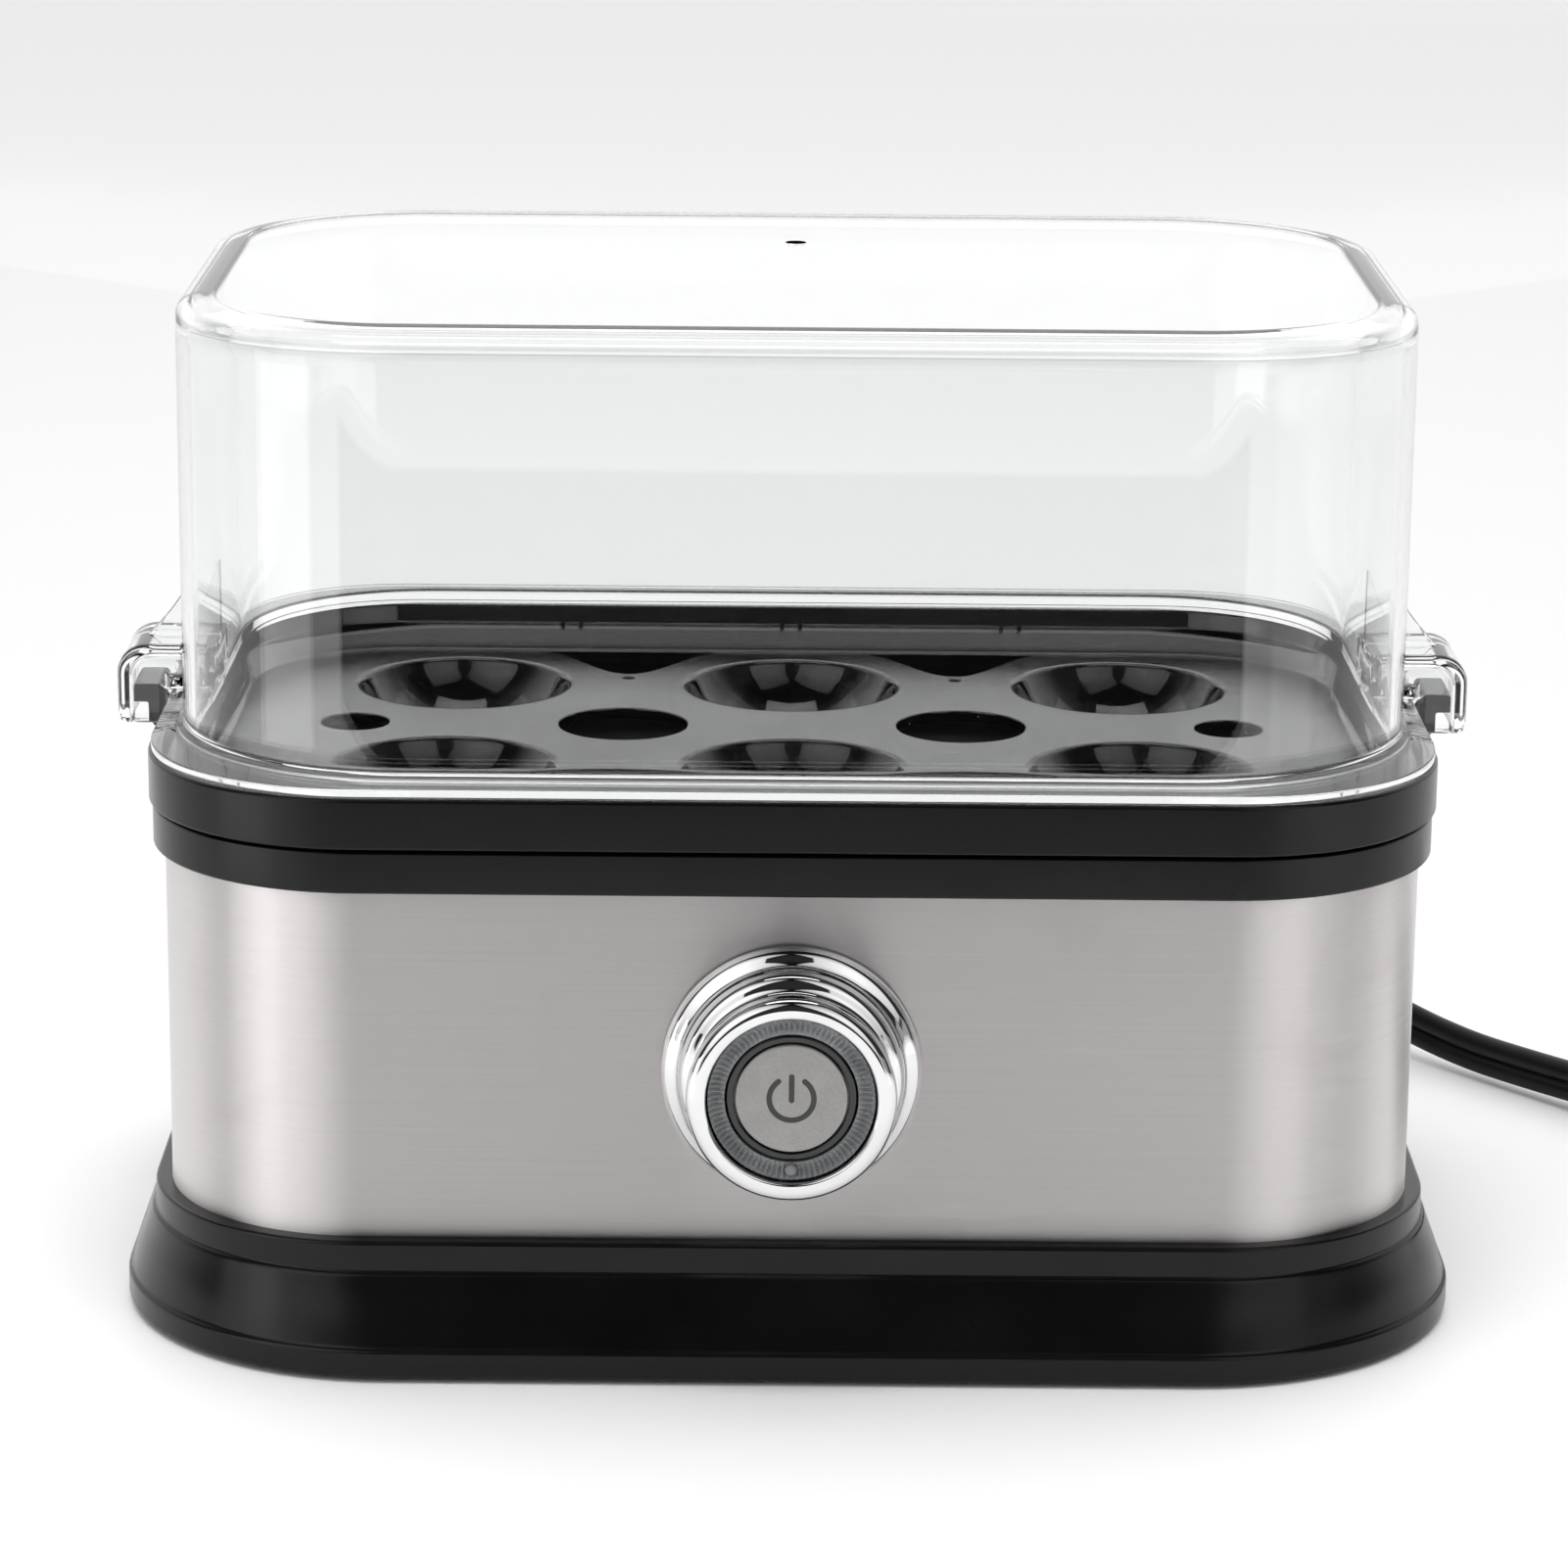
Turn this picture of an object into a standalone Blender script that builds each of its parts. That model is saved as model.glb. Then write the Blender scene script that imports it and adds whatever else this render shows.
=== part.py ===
"""Six-egg cooker, modelled as its separate parts.

Sizes in this file are millimetres. make() turns every mesh into metres.
The origin is on the table under the middle of the housing, +Z is up and the front faces -Y.
"""
import math

import bmesh
import bpy
from mathutils import Vector

MM = 0.001
GAP = 0.3                      # clearance between neighbouring solids

# Facets
CORNER_STEPS = 5               # facets in each rounded corner
ROUND_STEPS = 20               # facets round a knob or a cup
SMALL_STEPS = 10               # facets round a screw or a foot

# Housing: every outline is (half width, half depth, corner radius)
STEEL = (106.8, 75.0, 34.6)
STEEL_THICK = 0.8
STEEL_LOW = 22.6
STEEL_HIGH = 83.6
COLLAR_OFFSET = 2.0
COLLAR_LOW = 83.0
COLLAR_HIGH = 90.2
COLLAR_MOUTH = (103.8, 61.5, 33.0)
BASE_FOOT = (115.2, 83.6, 47.5)
COVER_LOW = 2.0
COVER_THICK = 2.0

# Tray
TRAY_RIM = (109.4, 77.6, 37.2)
TRAY_WELL = (101.7, 58.4, 31.4)
TRAY_SPIGOT = (103.2, 59.9, 32.6)
RIM_LOW = 90.6
RIM_HIGH = 99.3
FLOOR = 92.9
FLOOR_THICK = 2.0
CUP_PITCH_X = 60.0
CUP_ROW_Y = 29.6
CUP_SPHERE = 21.5              # inner radius of a cup
CUP_DEPTH = 12.0
CUP_WALL = 2.0
CUP_MOUTH = 20.8               # radius where the rim's round-over meets the floor
BIG_HOLE = 11.4
SMALL_HOLE = 6.1
SMALL_HOLE_X = 77.8
CUTOUT_BACK = 54.3
CUTOUT_DEPTH = 16.3
CUTOUT_HALF = 15.0

# Lid
LID_WALL = (104.6, 67.8, 39.0)
LID_THICK = 2.0
LID_FLANGE = (108.9, 77.2, 37.0)
FLANGE_LOW = 99.6
FLANGE_HIGH = 100.9
LID_SHOULDER = 170.2
LID_TOP = 175.0
VENT_Y = 29.6
VENT_RADIUS = 2.4

# Ears of the lid and lugs of the tray
EAR_OUT = 119.7
EAR_HIGH = 111.5
EAR_LOW = 97.4
EAR_HALF = 14.0
EAR_WALL = 1.9
WEB_TOP = 124.0
LUG_HALF = 9.0

# Knob
KNOB_Z = 52.8
KNOB_FRONT = 17.3
BORE = 14.0
TUBE = 15.0
BUTTON = 10.65
BUTTON_FRONT = 15.0
FACE = 9.2

# Mains lead: a flat cord, eight wide, standing on its edge
CORD = 8.0
EXIT_X = 46.0
EXIT_Z = 38.0
RELIEF_END = STEEL[1] + KNOB_FRONT
COIL_X = 207.0
COIL_Y = 74.5
COIL_IN = 34.6
COIL_OUT = 48.4
COIL_LOW = 1.4
COIL_HIGH = 9.6
CORD_ROUTE = (
    (46.0, 92.6, 38.0), (46.0, 96.5, 38.0), (48.2, 108.2, 36.6), (54.4, 118.9, 33.6),
    (63.9, 126.9, 29.6), (75.5, 131.2, 25.2), (87.9, 131.2, 20.6), (99.6, 126.9, 16.2),
    (109.0, 118.9, 12.4), (117.4, 109.2, 9.2), (127.0, 97.6, 6.6), (136.0, 86.9, 5.3),
    (144.5, 76.8, 5.2), (155.0, 64.4, 5.5),
)
ROUTE_POINTS = 30
TAIL_START = 250.0             # degrees round the coil
TAIL_END = 360.0
TAIL_RADIUS = 41.5
TIE_ANGLE = 110.0
PLUG_LONG = 30.0
PLUG_WIDE = 20.0
PLUG_HIGH = 13.0


def clear_scene():
    for obj in list(bpy.data.objects):
        bpy.data.objects.remove(obj, do_unlink=True)


def material(name, colour, roughness, metallic=0.0, alpha=1.0):
    made = bpy.data.materials.new(name)
    made.use_nodes = True
    shader = made.node_tree.nodes["Principled BSDF"]
    shader.inputs["Base Color"].default_value = (*colour, 1.0)
    shader.inputs["Roughness"].default_value = roughness
    shader.inputs["Metallic"].default_value = metallic
    shader.inputs["Alpha"].default_value = alpha
    return made


def rounded(outline, z, steps=CORNER_STEPS):
    """A rounded rectangle at height z, counter-clockwise."""
    half_w, half_d, radius = outline
    points = []
    for quarter, (side_x, side_y) in enumerate(((1, 1), (-1, 1), (-1, -1), (1, -1))):
        for i in range(steps + 1):
            angle = math.radians(90 * (quarter + i / steps))
            x = side_x * (half_w - radius) + radius * math.cos(angle)
            y = side_y * (half_d - radius) + radius * math.sin(angle)
            points.append((x, y, z))
    return points


def grown(outline, offset):
    return tuple(value + offset for value in outline)


def circle(radius, z, steps=ROUND_STEPS, centre=(0.0, 0.0)):
    points = []
    for i in range(steps):
        angle = math.tau * i / steps
        points.append((centre[0] + radius * math.cos(angle), centre[1] + radius * math.sin(angle), z))
    return points


def oval(half_x, half_y, z, steps=ROUND_STEPS):
    return [(x * half_x, y * half_y, z) for x, y, _ in circle(1.0, 0.0, steps)]


def prism(profile, low, high):
    """Rings for an XZ profile pulled along Y from low to high."""
    return [[(x, y, z) for x, z in profile] for y in (low, high)]


def block(low, high):
    (x0, y0, z0), (x1, y1, z1) = low, high
    return [[(x0, y0, z), (x1, y0, z), (x1, y1, z), (x0, y1, z)] for z in (z0, z1)]


def add_loft(bm, rings, closed=False):
    """Bridge rings of equal length. closed joins the last ring to the first, else both ends are capped."""
    rows = [[bm.verts.new(Vector(point) * MM) for point in ring] for ring in rings]
    count = len(rows[0])
    pairs = list(zip(rows, rows[1:]))
    if closed:
        pairs.append((rows[-1], rows[0]))
    for lower, upper in pairs:
        for i in range(count):
            j = (i + 1) % count
            bm.faces.new((lower[i], lower[j], upper[j], upper[i]))
    if not closed:
        bm.faces.new(list(reversed(rows[0])))
        bm.faces.new(rows[-1])


def make(name, lofts, finish=None, closed=False, at=(0, 0, 0), facing_front=False):
    """One object from one or more lofts, with its normals facing out."""
    mesh = bpy.data.meshes.new(name)
    bm = bmesh.new()
    for rings in lofts:
        add_loft(bm, rings, closed)
    bmesh.ops.recalc_face_normals(bm, faces=bm.faces)
    bm.to_mesh(mesh)
    bm.free()
    mesh.shade_smooth()
    mesh.set_sharp_from_angle(angle=math.radians(35))
    obj = bpy.data.objects.new(name, mesh)
    bpy.context.collection.objects.link(obj)
    obj.location = Vector(at) * MM
    if facing_front:
        obj.rotation_euler = (math.radians(90), 0, 0)
    if finish:
        mesh.materials.append(finish)
    return obj


def combine(target, tool, operation):
    tool.hide_render = True
    tool.display_type = "WIRE"
    modifier = target.modifiers.new(tool.name, "BOOLEAN")
    modifier.operation = operation
    modifier.object = tool


def cut(target, tool):
    combine(target, tool, "DIFFERENCE")


def add(target, tool):
    combine(target, tool, "UNION")


def tube(name, route, radius, finish):
    """A plain round tube along points in millimetres."""
    curve = bpy.data.curves.new(name, "CURVE")
    curve.dimensions = "3D"
    curve.bevel_depth = radius * MM
    curve.bevel_resolution = 2
    curve.use_fill_caps = True
    curve.resolution_u = 1
    spline = curve.splines.new("POLY")
    spline.points.add(len(route) - 1)
    for point, place in zip(spline.points, route):
        point.co = (*(Vector(place) * MM), 1.0)
    obj = bpy.data.objects.new(name, curve)
    bpy.context.collection.objects.link(obj)
    curve.materials.append(finish)
    return obj


def smooth_route(points, count):
    """Evenly spaced points on the Catmull-Rom curve through hand-chosen points."""
    knots = [Vector(p) for p in points]
    knots = [2 * knots[0] - knots[1]] + knots + [2 * knots[-1] - knots[-2]]
    fine = []
    for a, b, c, d in zip(knots, knots[1:], knots[2:], knots[3:]):
        for i in range(20):
            t = i / 20
            fine.append(0.5 * (2 * b + (c - a) * t + (2 * a - 5 * b + 4 * c - d) * t ** 2
                               + (3 * b - a - 3 * c + d) * t ** 3))
    fine.append(knots[-2])
    reach = [0.0]
    for first, second in zip(fine, fine[1:]):
        reach.append(reach[-1] + (second - first).length)
    route = []
    index = 0
    for i in range(count):
        wanted = reach[-1] * i / (count - 1)
        while index < len(reach) - 2 and reach[index + 1] < wanted:
            index += 1
        share = (wanted - reach[index]) / (reach[index + 1] - reach[index])
        route.append(fine[index].lerp(fine[index + 1], share))
    return route


def base_skirt(finish):
    outside = (
        (BASE_FOOT, -1.0, 0.8), (BASE_FOOT, 0.0, 1.8), (BASE_FOOT, 0.0, 5.2), (BASE_FOOT, -0.6, 5.7),
    )
    flare = ((113.9, 82.2, 45.6, 7.2), (113.3, 81.6, 44.6, 10.3), (111.6, 79.9, 41.9, 14.6),
             (110.5, 78.8, 40.2, 17.6), (110.1, 78.4, 39.8, 18.0), (109.4, 77.7, 37.4, 21.8),
             (108.9, 77.2, 36.9, 22.3))
    inside = ((103.0, 71.2, 30.8, 22.3), (103.0, 71.2, 30.8, 20.0), (107.0, 75.3, 36.0, 20.0),
              (108.4, 76.7, 38.2, 17.0), (111.2, 79.5, 43.0, 9.5), (112.6, 81.0, 44.9, 5.0),
              (112.6, 81.0, 44.9, 0.8))
    rings = [rounded(grown(outline, offset), z) for outline, offset, z in outside]
    rings += [rounded(level[:3], level[3]) for level in flare + inside]
    return make("base_skirt", [rings], finish, closed=True)


def corner_spots(x, y):
    return [(side_x * x, side_y * y) for side_x in (-1, 1) for side_y in (-1, 1)]


FOOT_SPOTS = corner_spots(70.0, 64.0)
POST_SPOTS = corner_spots(88.0, 56.0)


def bottom_cover(finish):
    outline = (112.2, 80.6, 44.5)
    high = COVER_LOW + COVER_THICK
    cover = make("bottom_cover", [[rounded(outline, COVER_LOW), rounded(outline, high)]], finish)
    tools = []
    for spots, radius in ((FOOT_SPOTS, 2.9), (POST_SPOTS, 2.1)):
        for spot in spots:
            rings = [circle(radius, z, SMALL_STEPS, spot) for z in (COVER_LOW - 1, high + 1)]
            tools.append(rings)
    for i in range(6):
        x = -30.0 + 12.0 * i
        tools.append(block((x - 1.5, -18.0, COVER_LOW - 1), (x + 1.5, 18.0, high + 1)))
    cut(cover, make("cover_holes", tools))
    return cover


def feet(finish):
    levels = ((6.2, 0.0), (7.0, 0.6), (7.0, 1.7), (2.6, 1.7), (2.6, 4.3), (3.6, 4.3), (2.2, 6.2))
    for number, spot in enumerate(FOOT_SPOTS, 1):
        make(f"foot_{number}", [[circle(r, z, SMALL_STEPS) for r, z in levels]], finish, at=(*spot, 0))


def bottom_screws(finish):
    levels = ((2.4, 0.6), (3.3, 1.0), (3.3, 1.7), (1.6, 1.7), (1.6, 15.0), (0.7, 17.0))
    for number, spot in enumerate(POST_SPOTS, 1):
        make(f"bottom_screw_{number}", [[circle(r, z, SMALL_STEPS) for r, z in levels]], finish,
             at=(*spot, 0))


def steel_band(finish):
    inner = grown(STEEL, -STEEL_THICK)
    rings = [rounded(inner, STEEL_LOW), rounded(STEEL, STEEL_LOW), rounded(STEEL, STEEL_HIGH),
             rounded(inner, STEEL_HIGH)]
    band = make("steel_band", [rings], finish, closed=True)
    wall_openings(band, "band")
    return band


def wall_openings(wall, prefix):
    """The round hole for the knob and the oval one for the strain relief."""
    knob = [circle(TUBE + GAP, d) for d in (-6.0, 6.0)]
    cut(wall, make(prefix + "_knob_hole", [knob], at=(0, -STEEL[1] + 1, KNOB_Z), facing_front=True))
    relief = [oval(5.9, 7.9, d) for d in (-8.0, 8.0)]
    cut(wall, make(prefix + "_relief_hole", [relief], at=(EXIT_X, STEEL[1] - 2, EXIT_Z),
                   facing_front=True))


def inner_frame(finish):
    outer = grown(STEEL, -STEEL_THICK - GAP)
    inner = grown(STEEL, -3.1)
    low = 24.0
    high = 78.7
    rings = [rounded(inner, low), rounded(outer, low), rounded(outer, high), rounded(inner, high)]
    frame = make("inner_frame", [rings], finish, closed=True)
    wall_openings(frame, "frame")
    posts = []
    bores = []
    for x, y in POST_SPOTS:
        side_x = math.copysign(1, x)
        side_y = math.copysign(1, y)
        posts.append([circle(5.0, z, SMALL_STEPS, (x, y)) for z in (4.3, 40.0)])
        bores.append([circle(1.9, z, SMALL_STEPS, (x, y)) for z in (3.0, 20.0)])
        ends = sorted((x + 3.0 * side_x, x + 10.6 * side_x))
        sides = sorted((y + 1.0 * side_y, y + 3.4 * side_y))
        posts.append(block((ends[0], sides[0], low + 1), (ends[1], sides[1], 38.5)))
    add(frame, make("frame_posts", posts[0::2]))
    add(frame, make("frame_ribs", posts[1::2]))
    cut(frame, make("frame_bores", bores))
    return frame


def top_collar(finish):
    band = grown(STEEL, COLLAR_OFFSET)
    skirt = grown(STEEL, -STEEL_THICK - GAP)
    inside = grown(STEEL, -2.6)
    levels = (
        (grown(STEEL, 0.5), COLLAR_LOW), (grown(band, -0.4), COLLAR_LOW), (band, COLLAR_LOW + 0.5),
        (band, COLLAR_HIGH - 0.4), (grown(band, -0.4), COLLAR_HIGH), (COLLAR_MOUTH, COLLAR_HIGH),
        (COLLAR_MOUTH, 86.2), (inside, 86.2), (inside, 79.0), (skirt, 79.0), (skirt, STEEL_HIGH + 0.4),
        (grown(STEEL, 0.5), STEEL_HIGH + 0.4),
    )
    return make("top_collar", [[rounded(outline, z) for outline, z in levels]], finish, closed=True)


def water_dish(finish):
    rim = (101.6, 69.8, 31.0)
    levels = (
        ((92.0, 51.5, 24.0), 75.4), ((95.0, 54.5, 26.5), 77.0), ((96.6, 56.1, 28.0), 83.4),
        ((97.6, 57.1, 29.0), 84.7), (rim, 84.7), (rim, 83.8), ((97.8, 57.5, 29.2), 83.8),
        ((96.0, 55.5, 27.2), 76.2), ((92.6, 52.1, 24.6), 74.4),
    )
    return make("water_dish", [[rounded(outline, z) for outline, z in levels]], finish)


def dish_gasket(finish):
    outer = (101.4, 69.0, 30.6)
    inner = (98.4, 59.4, 29.6)
    levels = ((inner, 85.0), (outer, 85.0), (outer, 85.9), (inner, 85.9))
    return make("dish_gasket", [[rounded(outline, z) for outline, z in levels]], finish, closed=True)


def heating_element(finish):
    """A rod bent in a long loop under the dish, with its two cold ends turned down."""
    z = 70.6
    loop = rounded((62.0, 34.0, 26.0), z, steps=5)
    start = 6
    bend = loop[start:] + loop[:start]
    ends = [(14.0, 34.0), (-14.0, 34.0)]
    route = [(ends[1][0], 31.0, 56.0), (ends[1][0], 31.6, 66.0), (-16.0, 34.0, z)]
    route += bend
    route += [(16.0, 34.0, z), (ends[0][0], 31.6, 66.0), (ends[0][0], 31.0, 56.0)]
    return tube("heating_element", route, 3.2, finish)


def thermostat(finish):
    levels = ((6.0, 63.0), (8.2, 63.6), (8.2, 71.6), (11.0, 71.6), (11.0, 74.1))
    return make("thermostat", [[circle(r, z, SMALL_STEPS) for r, z in levels]], finish)


def thermal_fuse(finish):
    levels = ((0.6, -11.0), (0.6, -7.0), (2.0, -6.4), (2.0, 6.4), (0.6, 7.0), (0.6, 11.0))
    fuse = make("thermal_fuse", [[circle(r, z, SMALL_STEPS) for r, z in levels]], finish,
                at=(32.0, 0.0, 71.8), facing_front=True)
    return fuse


def knob_ring(name, profile, finish, steps=ROUND_STEPS):
    rings = [circle(radius, depth, steps) for radius, depth in profile]
    return make(name, [rings], finish, closed=True, at=(0, -STEEL[1], KNOB_Z), facing_front=True)


def knob_solid(name, profile, finish, steps=ROUND_STEPS):
    rings = [circle(radius, depth, steps) for radius, depth in profile]
    return make(name, [rings], finish, at=(0, -STEEL[1], KNOB_Z), facing_front=True)


def knob_bezel(finish):
    profile = (
        (21.6, GAP), (21.6, 1.3), (21.1, 2.4), (19.7, 3.3), (18.9, 3.7), (18.7, 6.0), (18.0, 7.3),
        (16.2, 8.0), (15.7, 9.0), (15.7, 11.4), (16.6, 12.4), (17.2, 13.6), (17.3, 16.2),
        (16.8, 17.1), (16.0, KNOB_FRONT), (14.4, KNOB_FRONT), (BORE, 16.9), (BORE, -9.0),
        (TUBE, -9.0), (TUBE, GAP),
    )
    return knob_ring("knob_bezel", profile, finish)


def bezel_nut(finish):
    return knob_ring("bezel_nut", ((15.3, -3.5), (19.0, -3.5), (19.0, -7.5), (15.3, -7.5)), finish)


def light_ring(finish):
    profile = ((BUTTON + GAP, 15.3), (BORE - GAP, 16.1), (BORE - GAP, 6.0), (BUTTON + GAP, 6.0))
    return knob_ring("light_ring", profile, finish)


def power_button(finish):
    profile = (
        (FACE + GAP, BUTTON_FRONT - 1.1), (FACE + GAP, BUTTON_FRONT), (BUTTON - 0.3, BUTTON_FRONT),
        (BUTTON, BUTTON_FRONT - 0.4), (BUTTON, 7.0), (3.0, 7.0), (3.0, 1.0),
    )
    return knob_solid("power_button", profile, finish)


def button_face(finish):
    profile = ((FACE, BUTTON_FRONT - 0.8), (FACE, BUTTON_FRONT + 0.1), (FACE - 0.3, BUTTON_FRONT + 0.3))
    return knob_solid("button_face", profile, finish)


def switch_plunger(finish):
    return knob_solid("switch_plunger", ((2.0, 0.7), (2.0, -5.0), (1.6, -5.6)), finish, SMALL_STEPS)


def switch_body(finish):
    body = knob_solid("switch_body", ((14.4, -9.3), (14.4, -11.0), (8.5, -11.0), (8.5, -24.0)), finish)
    neck = knob_solid("switch_neck", ((4.0, -2.0), (4.0, -10.0)), None, SMALL_STEPS)
    bore = knob_solid("switch_bore", ((2.3, -1.0), (2.3, -9.2)), None, SMALL_STEPS)
    add(body, neck)
    cut(body, bore)
    return body


def indicator_lamp(finish):
    """A small lamp on its leads, between the button's path and the bezel's bore."""
    levels = ((0.5, 5.6), (1.0, 5.3), (1.3, 4.4), (1.3, -0.6), (0.6, -0.6), (0.6, -9.0))
    return make("indicator_lamp", [[circle(r, d, SMALL_STEPS) for r, d in levels]], finish,
                at=(0, -STEEL[1], KNOB_Z - 12.35), facing_front=True)


def terminal_block(finish):
    block_body = make("terminal_block", [block((28.0, 38.0, 4.3), (64.0, 52.0, 16.0))], finish)
    wells = [[circle(2.6, z, SMALL_STEPS, (34.0 + 12.0 * i, 45.0)) for z in (9.0, 17.0)] for i in range(3)]
    cut(block_body, make("terminal_wells", wells))
    return block_body


def internal_leads(live, neutral, heat):
    routes = (
        ("lead_live", live, ((36.0, 37.4, 10.0), (30.0, 20.0, 9.0), (18.0, -10.0, 12.0),
                             (8.0, -36.0, 26.0), (4.0, -40.0, 46.0), (3.0, -45.0, 51.0), (3.0, -50.2, 51.0))),
        ("lead_neutral", neutral, ((50.0, 37.4, 10.0), (46.0, 26.0, 12.0), (34.0, 22.0, 26.0),
                                   (20.0, 26.0, 40.0), (14.6, 30.2, 49.0), (14.0, 31.0, 54.8))),
        ("lead_heater", heat, ((-4.0, -50.2, 51.0), (-4.0, -45.0, 51.0), (-10.0, -30.0, 46.0),
                               (-10.0, -12.0, 50.0), (-5.0, -2.0, 56.0), (-4.0, 0.0, 61.8))),
    )
    for name, finish, points in routes:
        tube(name, smooth_route(points, 12), 1.3, finish)


def strain_relief(finish):
    """A tapered bush, clamped in the wall by its two shoulders."""
    levels = ((6.8, 8.8, 69.4), (7.2, 9.2, 71.5), (5.5, 7.5, 71.5), (5.5, 7.5, 75.4), (7.4, 9.4, 75.4),
              (7.2, 9.2, 77.4), (5.2, 7.4, 79.0), (4.2, 6.0, RELIEF_END))
    rings = [[(EXIT_X + x, y, EXIT_Z + z) for x, z, _ in oval(half_x, half_z, 0.0, 16)]
             for half_x, half_z, y in levels]
    return make("strain_relief", [rings], finish)


def cup_spots():
    return [(column * CUP_PITCH_X, row * CUP_ROW_Y) for column in (-1, 0, 1) for row in (-1, 1)]


def cup_rings(spot, sphere, steps_down, low_angle, top_rings):
    """Rings of a cup from its bottom up, on a sphere whose centre is above the floor."""
    middle = FLOOR - CUP_DEPTH + CUP_SPHERE
    rings = []
    for i in range(steps_down + 1):
        angle = math.radians(low_angle + (57.0 - low_angle) * i / steps_down)
        rings.append(circle(sphere * math.sin(angle), middle - sphere * math.cos(angle),
                            ROUND_STEPS, spot))
    for radius, z in top_rings:
        rings.append(circle(radius, z, ROUND_STEPS, spot))
    return rings


def cutout_rings(centre_x, side):
    """A shallow bell-shaped opening between two cups, straight along the wall."""
    points = []
    count = 10
    for i in range(count + 1):
        across = 2.0 * i / count - 1.0
        bell = (0.5 + 0.5 * math.cos(math.pi * across)) ** 0.8
        points.append((centre_x + CUTOUT_HALF * across, side * (CUTOUT_BACK - 1.0 - CUTOUT_DEPTH * bell)))
    points.append((centre_x + CUTOUT_HALF, side * CUTOUT_BACK))
    points.append((centre_x - CUTOUT_HALF, side * CUTOUT_BACK))
    return [[(x, y, z) for x, y in points] for z in (FLOOR - FLOOR_THICK - 2, FLOOR + 2)]


def tray_shell(finish):
    under = RIM_HIGH - 2.0
    levels = (
        ((98.2, 54.9, 28.0), FLOOR), ((100.2, 56.9, 29.9), FLOOR + 0.7), ((101.1, 57.8, 30.8), FLOOR + 2.6),
        (TRAY_WELL, RIM_HIGH - 0.7), (grown(TRAY_WELL, 0.4), RIM_HIGH), (grown(TRAY_RIM, -0.5), RIM_HIGH),
        (TRAY_RIM, RIM_HIGH - 0.5), (TRAY_RIM, RIM_LOW + 0.4), (grown(TRAY_RIM, -0.4), RIM_LOW),
        (grown(TRAY_RIM, -2.0), RIM_LOW), (grown(TRAY_RIM, -2.0), under), (TRAY_SPIGOT, under),
        (TRAY_SPIGOT, FLOOR - 0.6), ((101.6, 58.3, 31.0), FLOOR - FLOOR_THICK),
    )
    return make("egg_tray", [[rounded(outline, z) for outline, z in levels]], finish)


def egg_tray(finish):
    tray = tray_shell(finish)
    outside = [cup_rings(spot, CUP_SPHERE + CUP_WALL, 3, 8.0, ((20.4, FLOOR - 0.8),))
               for spot in cup_spots()]
    add(tray, make("tray_cups", outside))
    add(tray, make("tray_lugs", [prism(lug_profile(side), -LUG_HALF, LUG_HALF) for side in (-1, 1)]))
    lip = ((19.3, FLOOR - 0.7), (CUP_MOUTH, FLOOR - 0.05), (21.6, FLOOR + 0.6))
    cut(tray, make("tray_bowls", [cup_rings(spot, CUP_SPHERE, 4, 7.0, lip) for spot in cup_spots()]))
    holes = []
    for x, radius in ((CUP_PITCH_X / 2, BIG_HOLE), (SMALL_HOLE_X, SMALL_HOLE)):
        for side in (-1, 1):
            holes.append([circle(radius, z, ROUND_STEPS, (side * x, 0.0))
                          for z in (FLOOR - FLOOR_THICK - 2, FLOOR + 2)])
    cut(tray, make("tray_holes", holes))
    openings = [cutout_rings(x * CUP_PITCH_X / 2, side) for x in (-1, 1) for side in (-1, 1)]
    cut(tray, make("tray_cutouts", openings))
    return tray


def lug_profile(side):
    """The inverted-L grip on each end of the tray."""
    shape = ((108.5, 92.8), (112.0, 92.8), (113.3, 94.4), (113.3, 101.0), (117.0, 101.0), (117.0, 103.9),
             (116.5, 104.4), (111.5, 104.4), (110.9, 103.8), (110.9, 98.2), (108.5, 98.2))
    return [(side * x, z) for x, z in shape]


def lid_shell(finish):
    inner = grown(LID_WALL, -LID_THICK)
    outside = (
        (grown(LID_WALL, -6.2), LID_TOP), (grown(LID_WALL, -3.4), LID_TOP - 0.7),
        (grown(LID_WALL, -1.0), LID_TOP - 2.6), (LID_WALL, LID_SHOULDER), (LID_WALL, FLANGE_HIGH + 1.2),
        (grown(LID_WALL, 0.8), FLANGE_HIGH), (grown(LID_FLANGE, -0.4), FLANGE_HIGH),
        (LID_FLANGE, FLANGE_HIGH - 0.4), (LID_FLANGE, FLANGE_LOW),
    )
    inside = (
        (inner, FLANGE_LOW), (inner, LID_SHOULDER - 0.2), (grown(inner, -1.2), LID_TOP - 3.7),
        (grown(inner, -5.4), LID_TOP - 2.0),
    )
    return make("lid", [[rounded(outline, z) for outline, z in outside + inside]], finish)


def ear_outline(side, shrink):
    """The arch of an ear in XZ. shrink makes the hollow inside it."""
    out = EAR_OUT - shrink
    top = EAR_HIGH - shrink
    bend = 5.2 - 0.6 * shrink
    foot = EAR_LOW - (2.0 if shrink else 0.0)
    step = FLANGE_HIGH + 1.6 if shrink else FLANGE_HIGH - 0.6
    root = 106.6 if shrink else LID_WALL[0] - 0.9
    clear = 109.3 if shrink else 109.8
    shape = [(clear, foot), (out, foot), (out, top - bend)]
    for i in range(1, 4):
        angle = math.radians(30 * i)
        shape.append((out - bend + bend * math.cos(angle), top - bend + bend * math.sin(angle)))
    shape += [(root, top), (root, step), (clear, step)]
    return [(side * x, z) for x, z in shape]


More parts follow.
